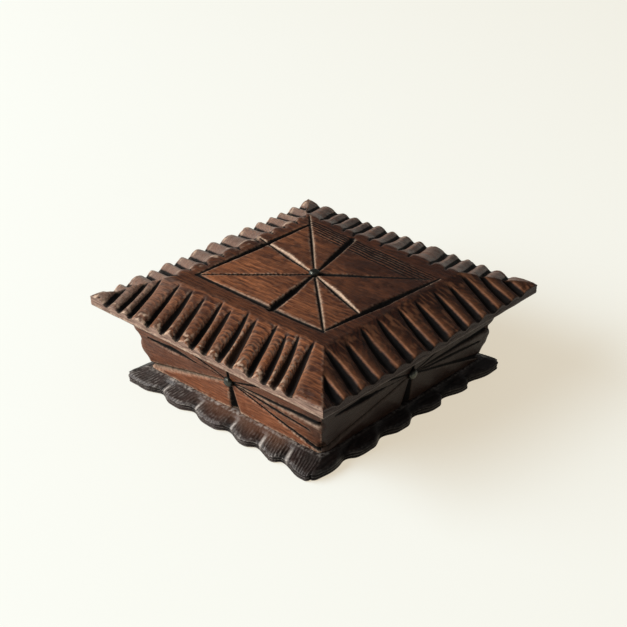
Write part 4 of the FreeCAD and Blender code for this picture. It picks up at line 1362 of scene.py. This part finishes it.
    def loop(self, way: np.ndarray, reach: np.ndarray, level: np.ndarray, drawn: float) -> np.ndarray:
        """A square loop of points, with its tips and its front side drawn out.

        Args:
            way: -1 to 1 along each side in turn.
            reach: Distance of each point's side from the centre.
            level: Height of each point.
            drawn: How far the tips and the front side are drawn out, 0 to 1.

        Returns:
            The points, anticlockwise from above.
        """
        count = self.points_a_side
        front = np.stack([way * reach, -reach, level], -1)
        loop = np.concatenate([side.turned(front[n * count:(n + 1) * count]) for n, side in enumerate(Side)])
        for right, back, shift_x, shift_y in self.tips:
            away = np.hypot(loop[:, 0] - right * self.half, loop[:, 1] - back * self.half)
            pull = drawn * smooth(away, self.tip_reach, 0.0)
            loop[:, 0] += shift_x * pull
            loop[count:, 1] += shift_y * pull[count:]
        loop[:count, 1] -= drawn * np.interp(way[:count], (-1.0, 1.0), self.front_lean)
        return loop

    def build(self, finish: WoodFinish) -> None:
        """Builds and dresses the plinth."""
        piece = self.shape().piece("base_plinth_carved", 5, 0.16)
        finish_piece(piece, finish.material(), "box", "base_plinth")


@dataclass
class DomedStud:
    """A hammered stud with a domed head and a plain shank."""

    node: str
    body: str
    foot: tuple[float, float, float]
    axis: tuple[float, float, float]
    head_radius: float = 3.1
    head_height: float = 2.5
    shank_radius: float = 0.9
    shank_length: float = 6.5
    spokes: int = 48
    seed: int = 71

    def shape(self) -> Shell:
        """Turns the stud as one closed shell, crown first."""
        angles = np.linspace(0.0, 2 * np.pi, self.spokes, endpoint=False)
        profile = []
        for tilt in np.linspace(0.06, 0.5 * np.pi, 14):
            radius = self.head_radius * math.sin(tilt) ** 0.9
            profile.append((radius, self.head_height * math.cos(tilt) ** 0.9))
        profile += [(self.shank_radius * 1.4, 0.0), (self.shank_radius, -0.3),
                    (self.shank_radius, 0.6 - self.shank_length), (0.15, -self.shank_length)]
        up = Vector(self.axis).normalized()
        spin = np.array(up.to_track_quat("Z", "Y").to_matrix())
        rings, bare = [], []
        for radius, level in profile:
            dent = 0.05 * rumple(radius * np.cos(angles) + 30, radius * np.sin(angles) + 30, 1.1, self.seed)
            reach = radius * (1.0 - np.abs(dent) * (level >= 0))
            local = np.stack([reach * np.cos(angles), reach * np.sin(angles),
                              np.full_like(angles, level) - np.abs(dent) * (level > 0.2)], -1)
            rings.append(local @ spin.T + np.array(self.foot))
            bare.append(np.full_like(angles, max(0.0, level / self.head_height - 0.62) * 2.2))
        return Shell.rings(rings, {Mask.BARE: np.stack(bare)})

    def build(self, material: bpy.types.Material) -> None:
        """Builds and dresses the stud."""
        piece = self.shape().piece(f"{self.node}_domed", 2, 0.2)
        finish_piece(piece, material, self.body, self.node)


@dataclass
class FeltLining:
    """A cut sheet of felt, laid on a face of the box."""

    node: str
    body: str
    corners: tuple[tuple[float, float, float], ...]
    thickness: tuple[float, float, float]
    rests_on: str
    cells: int = 60
    seed: int = 91

    def shape(self) -> Shell:
        """Builds the sheet as a thin closed shell with a soft edge."""
        a, b, c, d = (np.array(corner) for corner in self.corners)
        s, t = np.meshgrid(np.linspace(0, 1, self.cells + 1), np.linspace(0, 1, self.cells + 1))
        s, t = s[..., None], t[..., None]
        back = a * (1 - s) * (1 - t) + b * s * (1 - t) + c * s * t + d * (1 - s) * t
        lift = np.array(self.thickness)
        edge = np.minimum(np.minimum(s, 1 - s), np.minimum(t, 1 - t)) * self.cells
        nap = 0.94 - 0.04 * rumple(s * 40, t * 40, 1.3, self.seed) - 0.35 * np.clip(1.0 - edge, 0.0, 1.0)
        face = back + lift * nap
        return Shell.board(face, [rim_of(back)], {}, {})

    def flat(self) -> tuple[float, float]:
        """The size that the sheet is cut to, in metres."""
        a, b, c, d = (Vector(corner) for corner in self.corners)
        return (max((b - a).length, (c - d).length) * MM, max((d - a).length, (c - b).length) * MM)

    def build(self, material: bpy.types.Material) -> None:
        piece = self.shape().piece(f"{self.node}_felt", 2, 0.2)
        finish_piece(piece, material, self.body, self.node)


class BoxLinings:
    """All the felt sheets of the box."""

    FLOOR_HALF = 54.1
    FLOOR = 8.0
    LID_HALF = 57.37
    LID_UNDERSIDE = 47.0
    FELT = 1.2
    WALL_MARGIN = 2.0
    WALL_PLAY = 0.05

    @staticmethod
    def square(half: float, level: float, way: float) -> tuple[tuple[float, float, float], ...]:
        """Corners of a level square, anticlockwise from above, or from below where way is -1."""
        return ((-half, -half * way, level), (half, -half * way, level),
                (half, half * way, level), (-half, half * way, level))

    def sheets(self) -> list[FeltLining]:
        """The floor's, the lid's and the walls' sheets."""
        floor = self.square(self.FLOOR_HALF, self.FLOOR, 1.0)
        roof = self.square(self.LID_HALF, self.LID_UNDERSIDE, -1.0)
        sheets = [
            FeltLining("floor_lining", "box", floor, (0.0, 0.0, self.FELT), "base_plinth"),
            FeltLining("lid_lining", "lid", roof, (0.0, 0.0, -self.FELT), "lid_board"),
        ]
        for side in Side:
            low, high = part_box(f"{side.label}_wall_lining")
            sheets.append(self.wall_sheet(side, float(low[2]) / MM, float(high[2]) / MM))
        return sheets

    def wall_sheet(self, side: Side, bottom: float, top: float) -> FeltLining:
        """The sheet on one wall.

        Args:
            side: The wall's side.
            bottom: Lowest height of the CAD sheet.
            top: Highest height of the CAD sheet.

        Returns:
            The sheet.
        """
        wall = FlaredWall(side)
        lean = math.hypot(1.0, wall.flare)
        thick = (0.0, self.FELT / lean, self.FELT * wall.flare / lean)

        def inner(up: float) -> float:
            """Half width of the wall's inner face at a height."""
            return wall.foot_half + wall.flare * (up - wall.floor) - wall.level_thickness

        margin = self.WALL_MARGIN
        low, high = bottom + self.WALL_PLAY, top - thick[2] - self.WALL_PLAY
        corners = np.array([
            (inner(low) - margin, -inner(low), low), (-inner(low) + margin, -inner(low), low),
            (-inner(high) + margin, -inner(high), high), (inner(high) - margin, -inner(high), high)])
        turned = tuple(tuple(float(v) for v in corner) for corner in side.turned(corners))
        lift = tuple(float(v) for v in side.turned(np.array(thick)))
        return FeltLining(f"{side.label}_wall_lining", "box", turned, lift, f"{side.label}_wall")


class Hardware:
    """Hinges, screws and nails: CAD nodes that keep their shape and get a finish."""

    BRASS_WORD = "hinge"
    STEEL_WORD = "nails"

    def dress(self, brass: bpy.types.Material, steel: bpy.types.Material) -> None:
        """Gives each metal node its finish.

        Args:
            brass: The hinges' and screws' finish.
            steel: The nails' finish.
        """
        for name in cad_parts:
            metal = brass if self.BRASS_WORD in name else steel if self.STEEL_WORD in name else None
            if metal is None:
                continue
            slots = bpy.data.objects[name].material_slots
            for slot in slots:
                slot.material = metal
            LOG.info("%s: finish %s", name, metal.name)


@dataclass
class Studio:
    """The floor, the soft light and the camera."""

    target: tuple[float, float, float] = (9.53, -11.12, 45.99)
    azimuth: float = 43.53
    elevation: float = 28.58
    roll: float = -0.84
    distance: float = 759.1
    focal_pixels: float = 1435.0
    floor_half: float = 4.0
    floor_matt: Colour = rgb(0.34, 0.33, 0.31)
    floor_pale: Colour = rgb(0.253, 0.328, 0.381)
    floor_glow: Colour = rgb(0.664, 0.584, 0.4545)
    room: Colour = rgb(1.0, 0.99, 0.97)
    room_strength: float = 0.2
    key_toward: tuple[float, float, float] = (-0.66, -0.75, 0.6)
    key_distance: float = 3.0
    key_size: tuple[float, float] = (3.4, 1.5)
    key_power: float = 195.0

    def camera(self) -> None:
        """Sets the camera at the photograph's viewing angle."""
        az, el, roll = (math.radians(v) for v in (self.azimuth, self.elevation, self.roll))
        back = Vector((math.sin(az) * math.cos(el), -math.cos(az) * math.cos(el), math.sin(el)))
        right = Vector((math.cos(az), math.sin(az), 0.0))
        up = back.cross(right)
        turned_right = math.cos(roll) * right + math.sin(roll) * up
        turned_up = -math.sin(roll) * right + math.cos(roll) * up
        spot = (Vector(self.target) + back * self.distance) * MM
        data = bpy.data.cameras.new("studio_camera")
        data.sensor_width = SENSOR
        data.lens = self.focal_pixels * SENSOR / PHOTO_SIDE
        data.clip_start = 0.01
        camera = bpy.data.objects.new("studio_camera", data)
        turn = Matrix((turned_right, turned_up, back)).transposed().to_4x4()
        camera.matrix_world = Matrix.Translation(spot) @ turn
        bpy.context.scene.collection.objects.link(camera)
        bpy.context.scene.camera = camera

    def floor(self) -> None:
        """Lays the pale floor, which keeps the box's shadow."""
        reach = self.floor_half
        corners = [(-reach, -reach, 0), (reach, -reach, 0), (reach, reach, 0), (-reach, reach, 0)]
        mesh = bpy.data.meshes.new("studio_floor")
        mesh.from_pydata(corners, [], [(0, 1, 2, 3)])
        floor = bpy.data.objects.new("studio_floor", mesh)
        bpy.context.scene.collection.objects.link(floor)
        material, graph, surface = new_material("pale_floor")
        matt = graph.add("BsdfDiffuse", {"Color": self.floor_matt})
        pale = graph.add("BsdfDiffuse", {"Color": self.floor_pale})
        glow = graph.add("Emission", {"Color": self.floor_glow, "Strength": 1.0})
        both = graph.add("AddShader", {0: pale, 1: glow})
        path = material.node_tree.nodes.new("ShaderNodeLightPath")
        seen = graph.math("MAXIMUM", path.outputs["Is Camera Ray"], path.outputs["Is Glossy Ray"])
        seen = graph.math("MAXIMUM", seen, path.outputs["Is Transmission Ray"])
        mixed = graph.add("MixShader", {0: seen, 1: matt, 2: both})
        material.node_tree.links.new(mixed, surface)
        mesh.materials.append(material)

    def room_light(self) -> None:
        """Sets the even light of the room."""
        world = bpy.data.worlds.new("studio_room")
        world.use_nodes = True
        background = world.node_tree.nodes["Background"]
        background.inputs["Color"].default_value = self.room
        background.inputs["Strength"].default_value = self.room_strength
        bpy.context.scene.world = world

    def key_light(self) -> None:
        """Hangs the soft key at the front left, like a window."""
        data = bpy.data.lights.new("key_window", "AREA")
        data.shape = "RECTANGLE"
        data.size, data.size_y = self.key_size
        data.energy = self.key_power
        lamp = bpy.data.objects.new("key_window", data)
        aim = Vector(self.key_toward).normalized()
        lamp.location = aim * self.key_distance
        lamp.rotation_euler = aim.to_track_quat("Z", "Y").to_euler()
        bpy.context.scene.collection.objects.link(lamp)

    def build(self) -> None:
        """Builds the whole studio."""
        self.camera()
        self.floor()
        self.room_light()
        self.key_light()
        bpy.context.scene.view_settings.view_transform = "Standard"


def wood_finishes() -> dict[str, WoodFinish]:
    """The finishes of the lid, the walls and the plinth."""
    shared = {
        "stain": rgb(0.003, 0.0025, 0.0022), "band": rgb(0.29, 0.2, 0.157), "highlight_and_warm_red": rgb(0.33, 0.14, 0.065),
    }
    pale, grey = rgb(0.52, 0.37, 0.26), rgb(0.42, 0.38, 0.34)
    # Dark colours for the tone mask: stain tone and painted shade.
    lid_tone_and_shade, tone_and_shade_grey = rgb(0.15, 0.115, 0.105), rgb(0.12, 0.123, 0.137)
    lid = WoodFinish(
        "lid_stained_pine", rgb(0.36, 0.134, 0.054), rgb(0.05, 0.015, 0.008), rgb(0.08, 0.025, 0.012),
        tone_and_shade_dark=lid_tone_and_shade, worn=pale, pith=(0.0, -10.0, 40.0), spacing=1.2, **shared)
    wall = WoodFinish(
        "wall_stained_pine", rgb(0.305, 0.117, 0.055), rgb(0.145, 0.048, 0.023), rgb(0.17, 0.055, 0.025),
        tone_and_shade_dark=tone_and_shade_grey, worn=pale, pith=(0.0, 20.0, 60.0), spacing=2.0, **shared)
    plinth = WoodFinish(
        "plinth_stained_pine", rgb(0.069, 0.053, 0.045), rgb(0.02, 0.015, 0.0125), rgb(0.052, 0.026, 0.021),
        tone_and_shade_dark=tone_and_shade_grey, worn=grey, pith=(10.0, 5.0, 30.0), turn=(0.0, 0.0, math.pi / 2), spacing=1.4, **shared)
    return {"lid": lid, "wall": wall, "plinth": plinth}


def metal_finishes() -> dict[str, MetalFinish]:
    """The finishes of the studs, the hinges and the nails."""
    iron = MetalFinish(
        "stud_old_iron", rgb(0.06, 0.062, 0.051), rgb(0.008, 0.009, 0.007), rough=(0.24, 0.5), grain=1.6)
    brass = MetalFinish(
        "hinge_aged_brass", rgb(0.5, 0.34, 0.13), rgb(0.2, 0.13, 0.06), rough=(0.3, 0.5), grain=0.8)
    steel = MetalFinish(
        "nail_dull_steel", rgb(0.35, 0.34, 0.33), rgb(0.15, 0.14, 0.135), rough=(0.35, 0.55), grain=1.2)
    return {"iron": iron, "brass": brass, "steel": steel}


def walls() -> list[FlaredWall]:
    """The four walls: the front one pale, with its star off centre, and the others dark with painted shade.
    """
    found = []
    for side in Side:
        shift = FRONT_STAR_SHIFT if side is Side.FRONT else 0.0
        # Painted shade: every wall but the front one is made dark.
        tone = 0.0 if side is Side.FRONT else 1.0
        found.append(FlaredWall(side, star_shift=shift, tone=tone))
    return found


def studs() -> list[DomedStud]:
    """The five studs, one at the heart of each star."""
    found = [DomedStud("lid_stud", "lid", (0.0, 0.0, LID_STUD_FOOT), (0.0, 0.0, 1.0))]
    for wall in walls():
        middle = wall.height / 2
        reach = wall.foot_half + wall.flare * middle - STUD_SINK
        foot = wall.side.turned(np.array((wall.star_shift, -reach, wall.floor + middle)))
        axis = wall.side.turned(np.array((0.0, -1.0, -wall.flare)))
        found.append(DomedStud(f"{wall.side.label}_stud", "box", tuple(foot), tuple(axis)))
    return found


def main() -> None:
    """Builds the box and the studio in order."""
    logging.basicConfig(level=logging.INFO, format="%(message)s")
    Effects.build()
    Studio().build()
    woods = wood_finishes()
    metals = metal_finishes()
    CarvedLid().build(woods["lid"])
    for wall in walls():
        wall.build(woods["wall"])
    ScallopedPlinth().build(woods["plinth"])
    iron = metals["iron"].material()
    for stud in studs():
        stud.build(iron)
    felt = FeltFinish("lining_wool_felt", rgb(0.13, 0.01, 0.012), rgb(0.26, 0.024, 0.028)).material()
    for sheet in BoxLinings().sheets():
        sheet.build(felt)
    Hardware().dress(metals["brass"].material(), metals["steel"].material())


if __name__ == "__main__":
    main()
